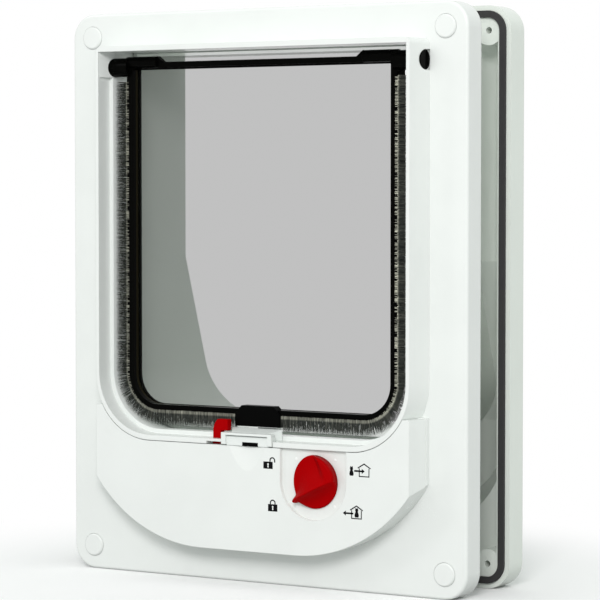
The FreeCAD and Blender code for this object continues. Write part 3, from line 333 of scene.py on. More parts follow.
@dataclass(frozen=True)
class Moulding(Finish):
    """Injection-moulded plastic: a faint orange peel, flow marks in the gloss and soft edges."""

    grain: float = 2600.0
    depth: float = 0.00001
    edge: float = 0.0004
    tint: float = 0.975

    def sockets(self, tree: Tree) -> dict:
        """Values and signals for the shader's sockets."""
        flow = tree.noise(38.0, 3.0)
        peel = tree.noise(self.grain)
        return {
            "Base Color": tree.blend(flow.ramp(0.35, 0.7), self.colour, shade(self.colour, self.tint)),
            "Roughness": self.roughness + flow * 0.08 + peel * 0.03,
            "Normal": tree.bump(peel, self.depth, 0.35, tree.soft_edge(self.edge)),
        }


@dataclass(frozen=True)
class SmokedFlap(Finish):
    """Smoked clear moulding: a see-through pane inside a rim, bar and pivots that look black, with a painted
    glow on the rim's inner wall.
    """

    pane: Colour = (0.012, 0.013, 0.012)
    # wall is a brown glow painted on the rim's inner wall, standing in for light coming through the smoked
    # plastic.
    wall: Colour = (0.011, 0.009, 0.003)
    pane_alpha: float = 0.275
    half: float = 64.4
    low: float = -47.6
    corner: float = 12.9
    bar_low: float = 97.15
    bar_high: float = 100.15
    shoulder_inner: float = 48.2
    panel_inner: float = 53.5
    wall_front: float = -12.2
    wall_back: float = -10.6
    wall_skin: float = 0.4
    slack: float = 0.05

    def sockets(self, tree: Tree) -> dict:
        """Values and signals for the shader's sockets.

        The pane is where the distance to a rounded rectangle, open at the top, is negative: the
        distance is the length of the part of (|x| - inner half, inner low - z) above nought, plus
        the lesser part below nought, less the corner's radius.
        """
        x, y, z = tree.axes()
        across = abs(x) - (self.half - self.corner) * MM
        down = (self.low + self.corner) * MM - z
        outside = (across.most(0.0) * across.most(0.0) + down.most(0.0) * down.most(0.0)).root()
        distance = outside + across.most(down).least(0.0) - self.corner * MM
        rim = distance > -self.slack * MM
        bar = (z > self.bar_low * MM) * (z < self.bar_high * MM)
        above = z > self.bar_low * MM
        ahead = (y < self.wall_front * MM) * (abs(x) > self.shoulder_inner * MM)
        barrels = above * ahead.most(abs(x) > self.panel_inner * MM)
        solid = rim.most(bar).most(barrels)
        deep = (y > self.wall_front * MM) * (y < self.wall_back * MM)
        # edge marks the rim's inner wall, which takes the painted glow.
        edge = rim * deep * (distance < self.wall_skin * MM) * (z < self.bar_low * MM)
        flow = tree.noise(30.0)
        return {
            "Base Color": tree.blend(edge, tree.blend(solid, self.pane, self.colour), self.wall),
            "Alpha": self.pane_alpha + solid * (1.0 - self.pane_alpha),
            "Roughness": self.roughness + flow * 0.04 + solid * 0.12,
            "Normal": tree.soft_edge(0.0003),
        }


@dataclass(frozen=True)
class Pile(Finish):
    """Brush pile: each fibre has its own tone, and a painted glint lightens its root."""

    light: Colour = (0.68, 0.68, 0.56)

    def sockets(self, tree: Tree) -> dict:
        """Values and signals for the shader's sockets."""
        # The tone attribute holds each fibre's own tone plus the painted glint at its root.
        tone = tree.node("ShaderNodeAttribute", {"attribute_name": "tone"}, output="Fac")
        clump = tree.noise(420.0)
        dark = tree.blend(clump.ramp(0.3, 0.7), self.colour, shade(self.colour, 0.7))
        return {
            "Base Color": tree.blend(tone, dark, self.light),
            "Roughness": self.roughness,
        }


@dataclass(frozen=True)
class Foam(Finish):
    """Closed-cell foam strip: open pinholes on a dull skin."""

    def sockets(self, tree: Tree) -> dict:
        """Values and signals for the shader's sockets."""
        cell = tree.cells(900.0)
        mottle = tree.noise(160.0, 4.0)
        return {
            "Base Color": tree.blend(mottle, self.colour, shade(self.colour, 2.6)),
            "Roughness": self.roughness + mottle * 0.2,
            "Normal": tree.bump(cell.least(0.4), 0.0003, 0.8, tree.soft_edge(0.0006)),
        }


@dataclass(frozen=True)
class Metal(Finish):
    """Bare metal with fine drawn lines."""

    lines: float = 9000.0

    def sockets(self, tree: Tree) -> dict:
        """Values and signals for the shader's sockets."""
        grain = tree.noise(self.lines, 4.0)
        return {
            "Base Color": tree.blend(grain, self.colour, shade(self.colour, 0.8)),
            "Roughness": self.roughness + grain * 0.15,
            "Metallic": 1.0,
            "Normal": tree.bump(grain, 0.00001, 0.3, tree.soft_edge(0.0002)),
        }


@dataclass(frozen=True)
class Winding(Finish):
    """Enamelled wire laid in turns along Z, darkened in the grooves between turns as painted shade."""

    wire: float = 0.32

    def sockets(self, tree: Tree) -> dict:
        """Values and signals for the shader's sockets."""
        _, _, z = tree.axes()
        # turn is one at the middle of each wire and nought in the grooves; the colour darkens there as
        # painted shade.
        turn = abs((z * (math.pi / (self.wire * MM))).wave())
        return {
            "Base Color": tree.blend(turn, shade(self.colour, 0.25), self.colour),
            "Roughness": self.roughness,
            "Metallic": 0.8 + turn * 0.2,
            "Normal": tree.bump(turn, 0.0001),
        }


@dataclass(frozen=True)
class Board(Finish):
    """Circuit board: green lacquer over tracks, with tinned pads."""

    pad: Colour = (0.62, 0.6, 0.55)
    pitch: float = 2.54

    def sockets(self, tree: Tree) -> dict:
        """Values and signals for the shader's sockets.

        Tracks are where the sine of x or z is near its top, switched by slow noise, and pads are
        the middles of cells.
        """
        x, _, z = tree.axes()
        turn = 2.0 * math.pi / (self.pitch * MM)
        choice = tree.noise(90.0, 0.0) > 0.5
        along = (x * turn).wave() > 0.8
        across = (z * turn).wave() > 0.8
        track = along * choice + across * (1.0 - choice)
        pads = tree.cells(300.0) < 0.22
        lacquer = tree.blend(track, self.colour, shade(self.colour, 1.9))
        return {
            "Base Color": tree.blend(pads, lacquer, self.pad),
            "Roughness": self.roughness + pads * 0.1,
            "Metallic": pads * 0.9,
            "Normal": tree.bump(track.most(pads), 0.00005),
        }


@dataclass(frozen=True)
class BatteryCase(Finish):
    """Block battery: a dark printed jacket between two plain metal ends."""

    end: Colour = (0.5, 0.5, 0.49)
    stripe: Colour = (0.42, 0.2, 0.06)
    low: float = -49.5
    high: float = -5.8
    stripe_start: float = -17.0

    def sockets(self, tree: Tree) -> dict:
        """Values and signals for the shader's sockets."""
        x, _, _ = tree.axes()
        ends = (x < self.low * MM).most(x > self.high * MM)
        jacket = tree.blend(x > self.stripe_start * MM, self.colour, self.stripe)
        scuff = tree.noise(500.0, 5.0)
        return {
            "Base Color": tree.blend(ends, jacket, self.end),
            "Roughness": self.roughness + scuff * 0.15,
            "Metallic": ends,
            "Normal": tree.bump(scuff, 0.00002, 0.4, tree.soft_edge(0.0006)),
        }


WHITE = Moulding("white_moulding", (0.812, 0.843, 0.818), 0.2)
# The outer frame's white is a little darker and greener than the inner frame's: painted shade for the tunnel
# walls seen through the flap.
WHITE_OUTER_SHADED = Moulding("white_moulding_outdoor_shaded", (0.785, 0.838, 0.778), 0.2)
WHITE_CAP = Moulding("white_insert", (0.805, 0.845, 0.82), 0.28)
RED = Moulding("red_moulding", (0.37, 0.0004, 0.0014), 0.34, 0.012, edge=0.0003)
BLACK = Moulding("black_moulding", (0.0015, 0.0016, 0.0015), 0.25, 0.02)
INK = Moulding("black_ink", (0.004, 0.004, 0.005), 0.5, 0.05, edge=0.00002)
SMOKED = SmokedFlap("smoked_moulding", (0.0012, 0.0013, 0.001), 0.07, 0.02)
# The pips' white is brighter than the cover's they are moulded in: a painted highlight on the small domes.
PIP_PAINTED_HIGHLIGHT = Moulding("white_pip_painted_highlight", (0.9, 0.93, 0.91), 0.25, edge=0.00002)
PILE = Pile("brush_pile", (0.034, 0.039, 0.036), 0.7, 0.02)
FOAM = Foam("gasket_foam", (0.004, 0.0045, 0.0045), 0.6, 0.02)
IRON = Metal("soft_iron", (0.42, 0.41, 0.4), 0.35)
MAGNET = Metal("ceramic_magnet", (0.07, 0.07, 0.075), 0.5, lines=2500.0)
COPPER = Winding("copper_wire", (0.78, 0.36, 0.16), 0.3)
BOARD = Board("circuit_lacquer", (0.01, 0.10, 0.035), 0.3)
BATTERY = BatteryCase("battery_jacket", (0.015, 0.015, 0.018), 0.3)


def dress(frame: dict, finish: Finish, *names: str) -> None:
    """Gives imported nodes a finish.

    Args:
        finish: The finish.
        names: The nodes.
    """
    for name in names:
        mesh = frame["nodes"][name].data
        mesh.materials.clear()
        mesh.materials.append(finish.material())


def add_piece(name: str, mesh: bpy.types.Mesh, body: Body,
              finish: Finish) -> bpy.types.Object:
    """Adds a finished mesh that rides on a body.

    Args:
        name: The piece's name.
        mesh: Its mesh, in place.
        body: The body that it moves with.
        finish: Its finish.

    Returns:
        The piece.
    """
    piece = bpy.data.objects.new(name, mesh)
    bpy.context.scene.collection.objects.link(piece)
    mesh.materials.clear()
    mesh.materials.append(finish.material())
    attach(piece, body.value)
    LOG.info("%s: %d faces, rides on %s", name, len(mesh.polygons), body.value)
    return piece


@dataclass
class Brush:
    """The brush seal: tapered fibres that stand out from the flap's rim towards the tunnel."""

    rim_half: float = 67.5
    rim_low: float = -49.9
    rim_corner: float = 16.0
    top: float = 92.0
    half: float = 74.25
    low: float = -57.2
    tunnel_corner_x: float = 50.2
    tunnel_corner_radius: float = 24.0
    middle: float = -13.35
    depth: float = 1.3
    holder_half: float = 11.45
    sunk_side: float = 1.0
    sunk_low: float = 0.1
    fibres: int = 12000
    thick: float = 0.11
    thick_range: tuple[float, float] = (0.75, 1.2)
    reach_range: tuple[float, float] = (0.95, 1.0)
    lean: float = 0.06
    sway: float = 0.35
    sway_spread: float = 0.4
    gathering: float = 0.25
    root_share: float = 0.15
    root_end: float = 0.24
    root_bend: float = 0.2
    ring_widths: tuple[float, float, float] = (0.8, 1.25, 0.8)
    # Painted glint at the fibres' roots: a share all round, more on the sides and more again on the right,
    # where light catches them.
    root_glint: float = 0.35
    root_glint_sides: float = 0.35
    root_glint_right: float = 0.3
    least_root_glint: float = 0.3
    fibre_tone: float = 0.16
    seed: int = 7

    def _routes(self, along: np.ndarray, side: np.ndarray) -> tuple[np.ndarray, ...]:
        """Where fibres start and which way they point.

        A fibre's distance along half the rim runs down the straight side, round the corner's arc
        and along the bottom. Each stretch gives a point, an outward direction and a reach.

        Args:
            along: Distances from the top of the side, in millimetres.
            side: -1 or 1, left or right.

        Returns:
            Roots (n, 2), directions (n, 2) and reaches (n), in X and Z.
        """
        centre_x = self.rim_half - self.rim_corner
        centre_z = self.rim_low + self.rim_corner
        straight = self.top - centre_z
        arc = self.rim_corner * math.pi / 2.0
        turn = np.clip((along - straight) / self.rim_corner, 0.0, math.pi / 2.0)
        past = np.clip(along - straight - arc, 0.0, None)
        direction = np.stack([np.cos(turn), -np.sin(turn)], axis=1)
        rise = np.clip(straight - along, 0.0, None)
        root = np.stack([centre_x - past, centre_z + rise], axis=1) + self.rim_corner * direction
        reach = np.where(past > 0.0, self.rim_low - self.low, self.half - self.rim_half)
        around = (turn > 0.0) & (past <= 0.0)
        offset = root - np.array([self.tunnel_corner_x, centre_z])
        radius = self.tunnel_corner_radius - np.sin(turn) ** 2 * (
            self.tunnel_corner_radius + self.low - centre_z)
        ahead = (offset * direction).sum(axis=1)
        rest = (offset ** 2).sum(axis=1) - ahead ** 2
        reach = np.where(around, np.sqrt(np.clip(radius ** 2 - rest, 0.0, None)) - ahead, reach)
        mirror = np.stack([side, np.ones_like(side)], axis=1)
        return root * mirror, direction * mirror, reach

    def mesh(self) -> bpy.types.Mesh:
        """Builds all fibres as one mesh.

        A fibre is a three-sided taper: a ring at its root, a wider one at its knot, one just past the
        knot and a point at its tip. Rings are two vectors across the fibre times sine and cosine.

        Returns:
            The mesh, with a tone for each vertex: each fibre's own tone, plus a painted glint at its root.
        """
        draw = np.random.default_rng(self.seed)
        count = self.fibres
        length = (self.top - self.rim_low - self.rim_corner + self.rim_corner * math.pi / 2.0
                  + self.rim_half - self.rim_corner - self.holder_half)
        along = (np.arange(count) + draw.random(count)) * length / count
        side = np.where(np.arange(count) % 2 == 0, -1.0, 1.0)
        root, direction, reach = self._routes(along, side)
        lean = draw.normal(0.0, self.lean, count)
        reach = reach * draw.uniform(*self.reach_range, count) - self.sway * np.abs(lean)
        sunk = self.sunk_low + (self.sunk_side - self.sunk_low) * direction[:, 0] ** 2
        across = np.stack([-direction[:, 1], direction[:, 0]], axis=1)
        layer = draw.uniform(-1.0, 1.0, count) * self.depth

        def point(share: float, bend: np.ndarray) -> np.ndarray:
            """Points at a share of each fibre's length, bent aside."""
            out = direction * (share * reach - sunk * (1.0 - share))[:, None]
            flat = root + out + across * (lean * reach * share + bend)[:, None]
            y = self.middle + layer * (1.0 - self.gathering * share)
            return np.stack([flat[:, 0], y, flat[:, 1]], axis=1)

        bend = draw.normal(0.0, self.sway * self.sway_spread, count)
        past_knot = point(self.root_end, bend * self.root_bend)
        tip = point(1.0, bend)
        first = point(0.0, np.zeros(count))
        knot = point(self.root_share, np.zeros(count))
        wide = self.thick * draw.uniform(*self.thick_range, count)[:, None]
        side_way = np.stack([across[:, 0], np.zeros(count), across[:, 1]], axis=1)
        deep_way = np.array([0.0, 1.0, 0.0])
        angles = np.arange(3) * 2.0 * math.pi / 3.0

        def ring(centre: np.ndarray, share: float) -> np.ndarray:
            """Three points round a centre."""
            return np.stack([centre + share * wide * (math.cos(a) * side_way + math.sin(a) * deep_way)
                             for a in angles], axis=1)

        rings = [ring(*pair) for pair in zip((first, knot, past_knot), self.ring_widths)]
        points = np.concatenate([*rings, tip[:, None, :]], axis=1)
        corners = points.shape[1]
        sides = [(level * 3 + k, level * 3 + (k + 1) % 3, level * 3 + 3 + (k + 1) % 3, level * 3 + 3 + k)
                 for level in range(len(rings) - 1) for k in range(3)]
        halves = [(a, b, c) for a, b, c, _ in sides] + [(a, c, d) for a, _, c, d in sides]
        last = (len(rings) - 1) * 3
        caps = [(last + k, last + (k + 1) % 3, corners - 1) for k in range(3)] + [(2, 1, 0)]
        single = np.array(halves + caps)
        faces = (single[None] + (np.arange(count) * corners)[:, None, None]).reshape(-1, 3)
        mesh = triangles_mesh("brush_fibres", points.reshape(-1, 3) * MM, faces)
        own = draw.random(count)[:, None]
        # Painted glint at the roots, stronger on the sides and strongest on the right.
        shown = self.root_glint + self.root_glint_sides * direction[:, 0] ** 2
        shown = shown + self.root_glint_right * np.clip(direction[:, 0], 0.0, 1.0)
        painted_root_glint = shown[:, None] * np.array([1.0] * 6 + [0.0] * 4)
        painted_root_glint = painted_root_glint * (self.least_root_glint + (1.0 - self.least_root_glint) * own)
        tone = np.clip(own ** 3 * self.fibre_tone + painted_root_glint, 0.0, 1.0)
        attribute = mesh.attributes.new("tone", "FLOAT", "POINT")
        attribute.data.foreach_set("value", tone.astype(np.float32).reshape(-1))
        return mesh

    def build(self) -> None:
        """Adds the brush in place of its plain solid."""
        piece = add_piece("brush_fibres", self.mesh(), Body.FLAP, PILE)
        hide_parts("pile_seal")


def triangles_mesh(name: str, points: np.ndarray, faces: np.ndarray) -> bpy.types.Mesh:
    """Makes a mesh of triangles with its faces turned outwards.

    Args:
        name: The mesh's name.
        points: Vertices (n, 3) in metres.
        faces: Vertex numbers (m, 3).

    Returns:
        The mesh.
    """
    mesh = bpy.data.meshes.new(name)
    mesh.from_pydata(points.tolist(), [], faces.tolist())
    turn_outwards(mesh)
    return mesh


def turn_outwards(mesh: bpy.types.Mesh) -> None:
    """Turns every face of closed shells outwards."""
    shell = bmesh.new()
    shell.from_mesh(mesh)
    bmesh.ops.recalc_face_normals(shell, faces=shell.faces)
    shell.to_mesh(mesh)
    shell.free()


def step(share: np.ndarray) -> np.ndarray:
    """A smooth step: nought below nought, one above one, 3 s squared less 2 s cubed between."""
    share = np.clip(share, 0.0, 1.0)
    return share * share * (3.0 - 2.0 * share)


def circle(x: float, z: float, radius: float, start: float = 0.0, end: float = 360.0,
           steps: int = 24) -> Loop:
    """Points on an arc, from one angle to another in degrees."""
    angles = np.radians(np.linspace(start, end, steps, endpoint=abs(end - start) < 360.0))
    return np.stack([x + radius * np.cos(angles), z + radius * np.sin(angles)], axis=1)


def stroke(points: Loop, width: float) -> Loop:
    """The outline of a line drawn with a square-ended pen.

    Each point is moved to both sides along the mean of its two neighbours' normals, by half the
    width over the cosine of half the turn, so a corner stays as thick as the line.

    Args:
        points: The line (n, 2).
        width: The pen's width.

    Returns:
        The outline (2n, 2).
    """
    runs = np.diff(points, axis=0)
    runs = runs / np.linalg.norm(runs, axis=1)[:, None]
    normals = np.stack([-runs[:, 1], runs[:, 0]], axis=1)
    before = np.concatenate([normals[:1], normals])
    after = np.concatenate([normals, normals[-1:]])
    mean = before + after
    mean = mean / np.linalg.norm(mean, axis=1)[:, None]
    spread = (width / 2.0 / (mean * before).sum(axis=1))[:, None]
    return np.concatenate([points + mean * spread, (points - mean * spread)[::-1]])


@dataclass
class Signs:
    """The four printed signs beside the knob, and the moulded pips that its pointer stops at."""

    face: float = -23.2
    proud: float = 0.03
    pen: float = 0.42
    lock_width: float = 4.6
    lock_height: float = 3.0
    shackle_radius: float = 1.15
    shackle_rise: float = 0.55
    shackle_pen: float = 1.25
    shackle_shift: float = 1.85
    keyhole_radius: float = 0.42
    keyhole_share: float = 0.64
    keyhole_foot: float = 0.34
    keyhole_low: float = 0.55
    joint: float = 0.1
    free_leg: float = 0.8
    house_eaves: float = 6.0
    house_wall: float = 4.6
    house_height: float = 3.4
    house_roof: float = 1.8
    roof_pen: float = 1.15
    arrow_length: float = 5.0
    arrow_head: float = 1.4
    arrow_spread: float = 1.05
    arrow_shaft: float = 0.72
    cat_height: float = 3.7
    cat_levels: tuple[float, ...] = (0.0, 0.06, 0.25, 0.48, 0.6, 0.68, 0.8, 0.92, 1.0)
    cat_widths: tuple[float, ...] = (0.7, 0.92, 1.02, 0.8, 0.56, 0.62, 0.76, 0.66, 0.4)
    cat_ears: tuple[tuple[float, float], ...] = ((0.55, 0.3), (0.15, 0.0), (-0.15, 0.0), (-0.55, 0.3))
    open_lock: tuple[float, float] = (10.5, -71.4)
    closed_lock: tuple[float, float] = (12.8, -89.2)
    way_in_house: tuple[float, float] = (57.1, -72.1)
    way_out_house: tuple[float, float] = (53.5, -89.6)
    pip_radius: float = 0.7
    pip_rise: float = 0.14
    pip_floor: float = -21.4
    pip_rings: int = 6
    pip_around: int = 20
    pips: tuple[tuple[float, float], ...] = ((23.3, -66.7), (42.2, -66.3), (23.6, -86.4), (42.0, -85.6))

    def _padlock(self, place: tuple[float, float], shift: float) -> list[Loop]:
        """A padlock: a block with a keyhole, and a shackle moved sideways by a shift."""
        x, z = place
        half = self.lock_width / 2.0
        top = z + self.lock_height
        block = np.array([(x - half, z), (x + half, z), (x + half, top), (x - half, top)])
        hole = circle(x, z + self.keyhole_share * self.lock_height, self.keyhole_radius, -60.0, 240.0)
        foot = np.array([(x - self.keyhole_foot, z + self.keyhole_low),
                         (x + self.keyhole_foot, z + self.keyhole_low)])
        keyhole = np.concatenate([hole, foot])
        rise = top + self.shackle_rise
        bow = circle(x + shift, rise, self.shackle_radius, 180.0, 0.0)
        low = rise - self.free_leg if shift else top - self.joint
        legs = np.concatenate([[(x + shift - self.shackle_radius, top - self.joint)], bow,
                               [(x + shift + self.shackle_radius, low)]])
        return [block, keyhole, stroke(legs, self.pen * self.shackle_pen)]

    def _house(self, place: tuple[float, float]) -> list[Loop]:
        """A house: a roof line over three walls, open under the eaves."""
        x, z = place
        half = self.house_wall / 2.0
        eaves = z + self.house_height
        roof = np.array([(x - self.house_eaves / 2.0, eaves), (x, eaves + self.house_roof),
                         (x + self.house_eaves / 2.0, eaves)])
        top = eaves - self.joint
        walls = np.array([(x - half, top), (x - half, z), (x + half, z), (x + half, top)])
        return [stroke(roof, self.pen * self.roof_pen), stroke(walls, self.pen)]

    def _arrow(self, tail: tuple[float, float], way: float) -> list[Loop]:
        """An arrow from its tail, to the right (1) or left (-1)."""
        x, z = tail
        neck = self.arrow_length - self.arrow_head
        half = self.arrow_shaft / 2.0
        shape = np.array([(0.0, half), (neck, half), (neck, self.arrow_spread),
                          (self.arrow_length, 0.0), (neck, -self.arrow_spread), (neck, -half),
                          (0.0, -half)])
        return [shape * (way, 1.0) + (x, z)]

    def _cat(self, foot: tuple[float, float]) -> list[Loop]:
        """A sitting cat seen from the front: a head with two ears on a pear-shaped body.

        The outline's half width runs through widths given at a few levels of its height.
        """
        x, z = foot
        levels = np.array(self.cat_levels)
        wide = np.array(self.cat_widths)
        right = np.stack([x + wide, z + levels * self.cat_height], axis=1)
        left = np.stack([x - wide, z + levels * self.cat_height], axis=1)[::-1]
        ears = np.array(self.cat_ears) + (x, z + self.cat_height)
        return [np.concatenate([right[:-1], ears, left[1:]])]

    def _print(self, name: str, *shapes: list[Loop]) -> None:
        """Turns each shape's loops into one thin plate on the cover's face.

        Args:
            name: The sign's name.
            shapes: Lists of loops in X and Z. A loop inside another is a hole in it.
        """
        joined = bmesh.new()
        for loops in shapes:
            curve = bpy.data.curves.new(name, "CURVE")
            curve.dimensions = "2D"
            curve.fill_mode = "BOTH"
            curve.extrude = self.proud * MM
            for loop in loops:
                spline = curve.splines.new("POLY")
                spline.points.add(len(loop) - 1)
                flat = np.zeros((len(loop), 4))
                flat[:, :2] = loop * MM
                flat[:, 3] = 1.0
                spline.points.foreach_set("co", flat.reshape(-1))
                spline.use_cyclic_u = True
            holder = bpy.data.objects.new(name + "_outline", curve)
            bpy.context.scene.collection.objects.link(holder)
            bpy.context.view_layer.update()
            depsgraph = bpy.context.evaluated_depsgraph_get()
            mesh = bpy.data.meshes.new_from_object(holder.evaluated_get(depsgraph))
            joined.from_mesh(mesh)
            bpy.data.objects.remove(holder)
            bpy.data.meshes.remove(mesh)
        bmesh.ops.remove_doubles(joined, verts=joined.verts, dist=0.000001)
        mesh = bpy.data.meshes.new(name)
        joined.to_mesh(mesh)
        joined.free()
        flat = np.empty(len(mesh.vertices) * 3)
        mesh.vertices.foreach_get("co", flat)
        flat = flat.reshape(-1, 3)
        placed = np.stack([flat[:, 0], self.face * MM - flat[:, 2], flat[:, 1]], axis=1)
        mesh.vertices.foreach_set("co", placed.reshape(-1))
        turn_outwards(mesh)
        add_piece(name, mesh, Body.COVER, INK)

    def _pips(self) -> None:
        """Adds the pips: low caps of a sphere, as rings whose height falls with radius squared."""
        rings = self.pip_rings
        around = self.pip_around
        share = np.linspace(0.0, 1.0, rings + 1)[1:]
        angle = np.arange(around) * 2.0 * math.pi / around
        x = share[:, None] * np.cos(angle) * self.pip_radius
        z = share[:, None] * np.sin(angle) * self.pip_radius
        y = np.repeat((1.0 - share ** 2)[:, None], around, axis=1) * -self.pip_rise
        dome = np.concatenate([[(0.0, -self.pip_rise, 0.0)],
                               np.stack([x, y, z], axis=2).reshape(-1, 3),
                               [(0.0, 0.0, 0.0)]])
        faces = [(0, 1 + k, 1 + (k + 1) % around) for k in range(around)]
        for level in range(rings - 1):
            start = 1 + level * around
            for k in range(around):
                a, b = start + k, start + (k + 1) % around
                faces += [(a, a + around, b + around), (a, b + around, b)]
        last = 1 + (rings - 1) * around
        faces += [(last + (k + 1) % around, last + k, len(dome) - 1) for k in range(around)]
        single = np.array(faces)
        places = np.array([(x, self.pip_floor, z) for x, z in self.pips])
        points = (dome[None] + places[:, None, :]).reshape(-1, 3)
        numbers = (single[None] + (np.arange(len(places)) * len(dome))[:, None, None]).reshape(-1, 3)
        mesh = triangles_mesh("pointer_pips", points * MM, numbers)
        add_piece("pointer_pips", mesh, Body.COVER, PIP_PAINTED_HIGHLIGHT)

    def build(self) -> None:
        """Adds the signs and the pips."""
        self._print("sign_unlocked", self._padlock(self.open_lock, self.shackle_radius * self.shackle_shift))
        self._print("sign_locked", self._padlock(self.closed_lock, 0.0))
        x, z = self.way_in_house
        self._print("sign_way_in", self._house(self.way_in_house),
                    self._arrow((x - 4.7, z + 2.15), 1.0), self._cat((x - 6.0, z + 0.1)))
        x, z = self.way_out_house
        self._print("sign_way_out", self._house(self.way_out_house),
                    self._arrow((x - 1.5, z + 2.0), -1.0), self._cat((x + 0.1, z + 0.5)))
        self._pips()


@dataclass
class KnobGrip:
    """The knob's scooped front: a ridge that runs into the pointer, a bowl above it, a cove below.

    Lengths are from the knob's centre, u to the right and v up, and heights are above its foot.
    """

    centre: tuple[float, float] = (32.4, -75.8)
    foot: float = -21.7
    radius: float = 11.2
    pointer_angle: float = 221.0
    pointer_reach: float = 11.7
    pointer_half: float = 1.35
    ridge_angle: float = 26.0
    ridge_offset: float = -3.5
    ridge_high: float = 6.3
    ridge_peak: float = 0.0
    ridge_span: float = 19.0
    bowl_floor: float = 1.5
    bowl_width: float = 12.0
    bowl_narrow: float = 2.6
    bowl_power: float = 2.0
    cove_floor: float = 0.9
    cove_width: float = 7.0
    cove_power: float = 2.8
    crest_round: float = 0.3
    wall_foot: tuple[float, float] = (2.9, 5.1)
    wall_way: tuple[float, float] = (0.87, 0.49)
    wall_rise: float = 3.4
    wall_width: float = 3.6
    edge_round: float = 0.8
    edge_steepness: float = 0.98
    rings: int = 110
    ring_power: float = 1.3
    around: int = 320
    crowding: float = 0.8
    left_share: float = 0.86
    finger_high: float = 4.4
    finger_start: float = 6.0
    finger_run: float = 4.0

    def _height(self, u: np.ndarray, v: np.ndarray, inside: np.ndarray) -> np.ndarray:
        """The front's height over the foot.

        Across the ridge's line the height falls from the ridge's own height to each floor with
        a power of the distance left to the foot of the slope. The bowl's right wall is a smooth
        step, the pointer is a half round that rises by a smooth step, and the outer edge falls
        along an arc.

        Args:
            u: Place to the right.
            v: Place up.
            inside: Distance in from the outline.

        Returns:
            Heights in millimetres.
        """
        turn = math.radians(self.ridge_angle)
        along = u * math.cos(turn) + v * math.sin(turn)
        across = v * math.cos(turn) - u * math.sin(turn) - self.ridge_offset
        crest = self.ridge_high * (1.0 - ((along - self.ridge_peak) / self.ridge_span) ** 2)
        crest = np.clip(crest, self.bowl_floor, None)
        away = np.sqrt(across ** 2 + self.crest_round ** 2) - self.crest_round
        opening = step((along + self.radius) / self.radius)
        bowl_width = self.bowl_narrow + (self.bowl_width - self.bowl_narrow) * opening
        bowl = (1.0 - np.clip(away / bowl_width, 0.0, 1.0)) ** self.bowl_power
        cove = (1.0 - np.clip(away / self.cove_width, 0.0, 1.0)) ** self.cove_power
        upper = self.bowl_floor + (crest - self.bowl_floor) * bowl
        lower = self.cove_floor + (crest - self.cove_floor) * cove
        past = (u - self.wall_foot[0]) * self.wall_way[0] + (v - self.wall_foot[1]) * self.wall_way[1]
        upper = upper + self.wall_rise * step(past / self.wall_width) * (1.0 - bowl)
        height = np.where(across > 0.0, upper, lower)
        pointer = math.radians(self.pointer_angle)
        wide = np.where(u < 0.0, u / self.left_share, u)
        reach = wide * math.cos(pointer) + v * math.sin(pointer)
        beside = (v * math.cos(pointer) - wide * math.sin(pointer)) / self.pointer_half
        finger = np.sqrt(np.clip(1.0 - beside ** 2, 0.0, None)) * self.finger_high
        finger = finger * step((reach - self.finger_start) / self.finger_run)
        height = np.maximum(height, finger)
        fall = np.clip(1.0 - inside / self.edge_round, 0.0, 1.0)
        return height - self.edge_round * (1.0 - np.sqrt(1.0 - fall ** 2 * self.edge_steepness))

    def build(self) -> None:
        """Adds the knob in place of its plainer solid, as rings from the centre to its foot."""
        share = np.arange(self.around) / self.around
        pointer = math.radians(self.pointer_angle)
        gap = 2.0 * math.pi * share - self.crowding * np.sin(2.0 * math.pi * share)
        angle = pointer + gap
        beside = self.pointer_reach * np.sin(gap)
        tip = np.sqrt(np.clip(self.pointer_half ** 2 - beside ** 2, 0.0, None))
        ahead = (np.abs(beside) < self.pointer_half) & (np.cos(gap) > 0.0)
        outline = np.where(ahead, np.maximum(self.radius, self.pointer_reach * np.cos(gap) + tip),
                           self.radius)
        rings = (np.arange(1, self.rings + 1) / self.rings)[:, None]
        rings = 1.0 - (1.0 - rings) ** self.ring_power
        radius = rings * outline
        u = radius * np.cos(angle)
        u = np.where(u < 0.0, u * self.left_share, u)
        v = radius * np.sin(angle)
        height = self._height(u, v, outline - radius)
        top = np.stack([self.centre[0] + u, self.foot - height, self.centre[1] + v], axis=2)
        foot = top[-1].copy()
        foot[:, 1] = self.foot
        middle = self._height(np.zeros(1), np.zeros(1), np.full(1, self.radius))[0]
        points = np.concatenate([[(self.centre[0], self.foot - middle, self.centre[1])],
                                 top.reshape(-1, 3), foot, [(self.centre[0], self.foot, self.centre[1])]])
        here = np.arange(self.around)
        ahead_of = (here + 1) % self.around
        starts = 1 + np.arange(self.rings)[:, None] * self.around
        a = (starts + here).reshape(-1)
        b = (starts + ahead_of).reshape(-1)
        c = b + self.around
        d = a + self.around
        last = 1 + self.rings * self.around
        end = np.full(self.around, len(points) - 1)
        faces = np.concatenate([
            np.stack([a, b, c], axis=1), np.stack([a, c, d], axis=1),
            np.stack([np.zeros(self.around, int), 1 + here, 1 + ahead_of], axis=1),
            np.stack([last + ahead_of, last + here, end], axis=1)])
        mesh = triangles_mesh("knob_grip", points * MM, faces)
        mesh.shade_smooth()
        piece = add_piece("knob_grip", mesh, Body.KNOB, RED)
        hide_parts("lock_knob")


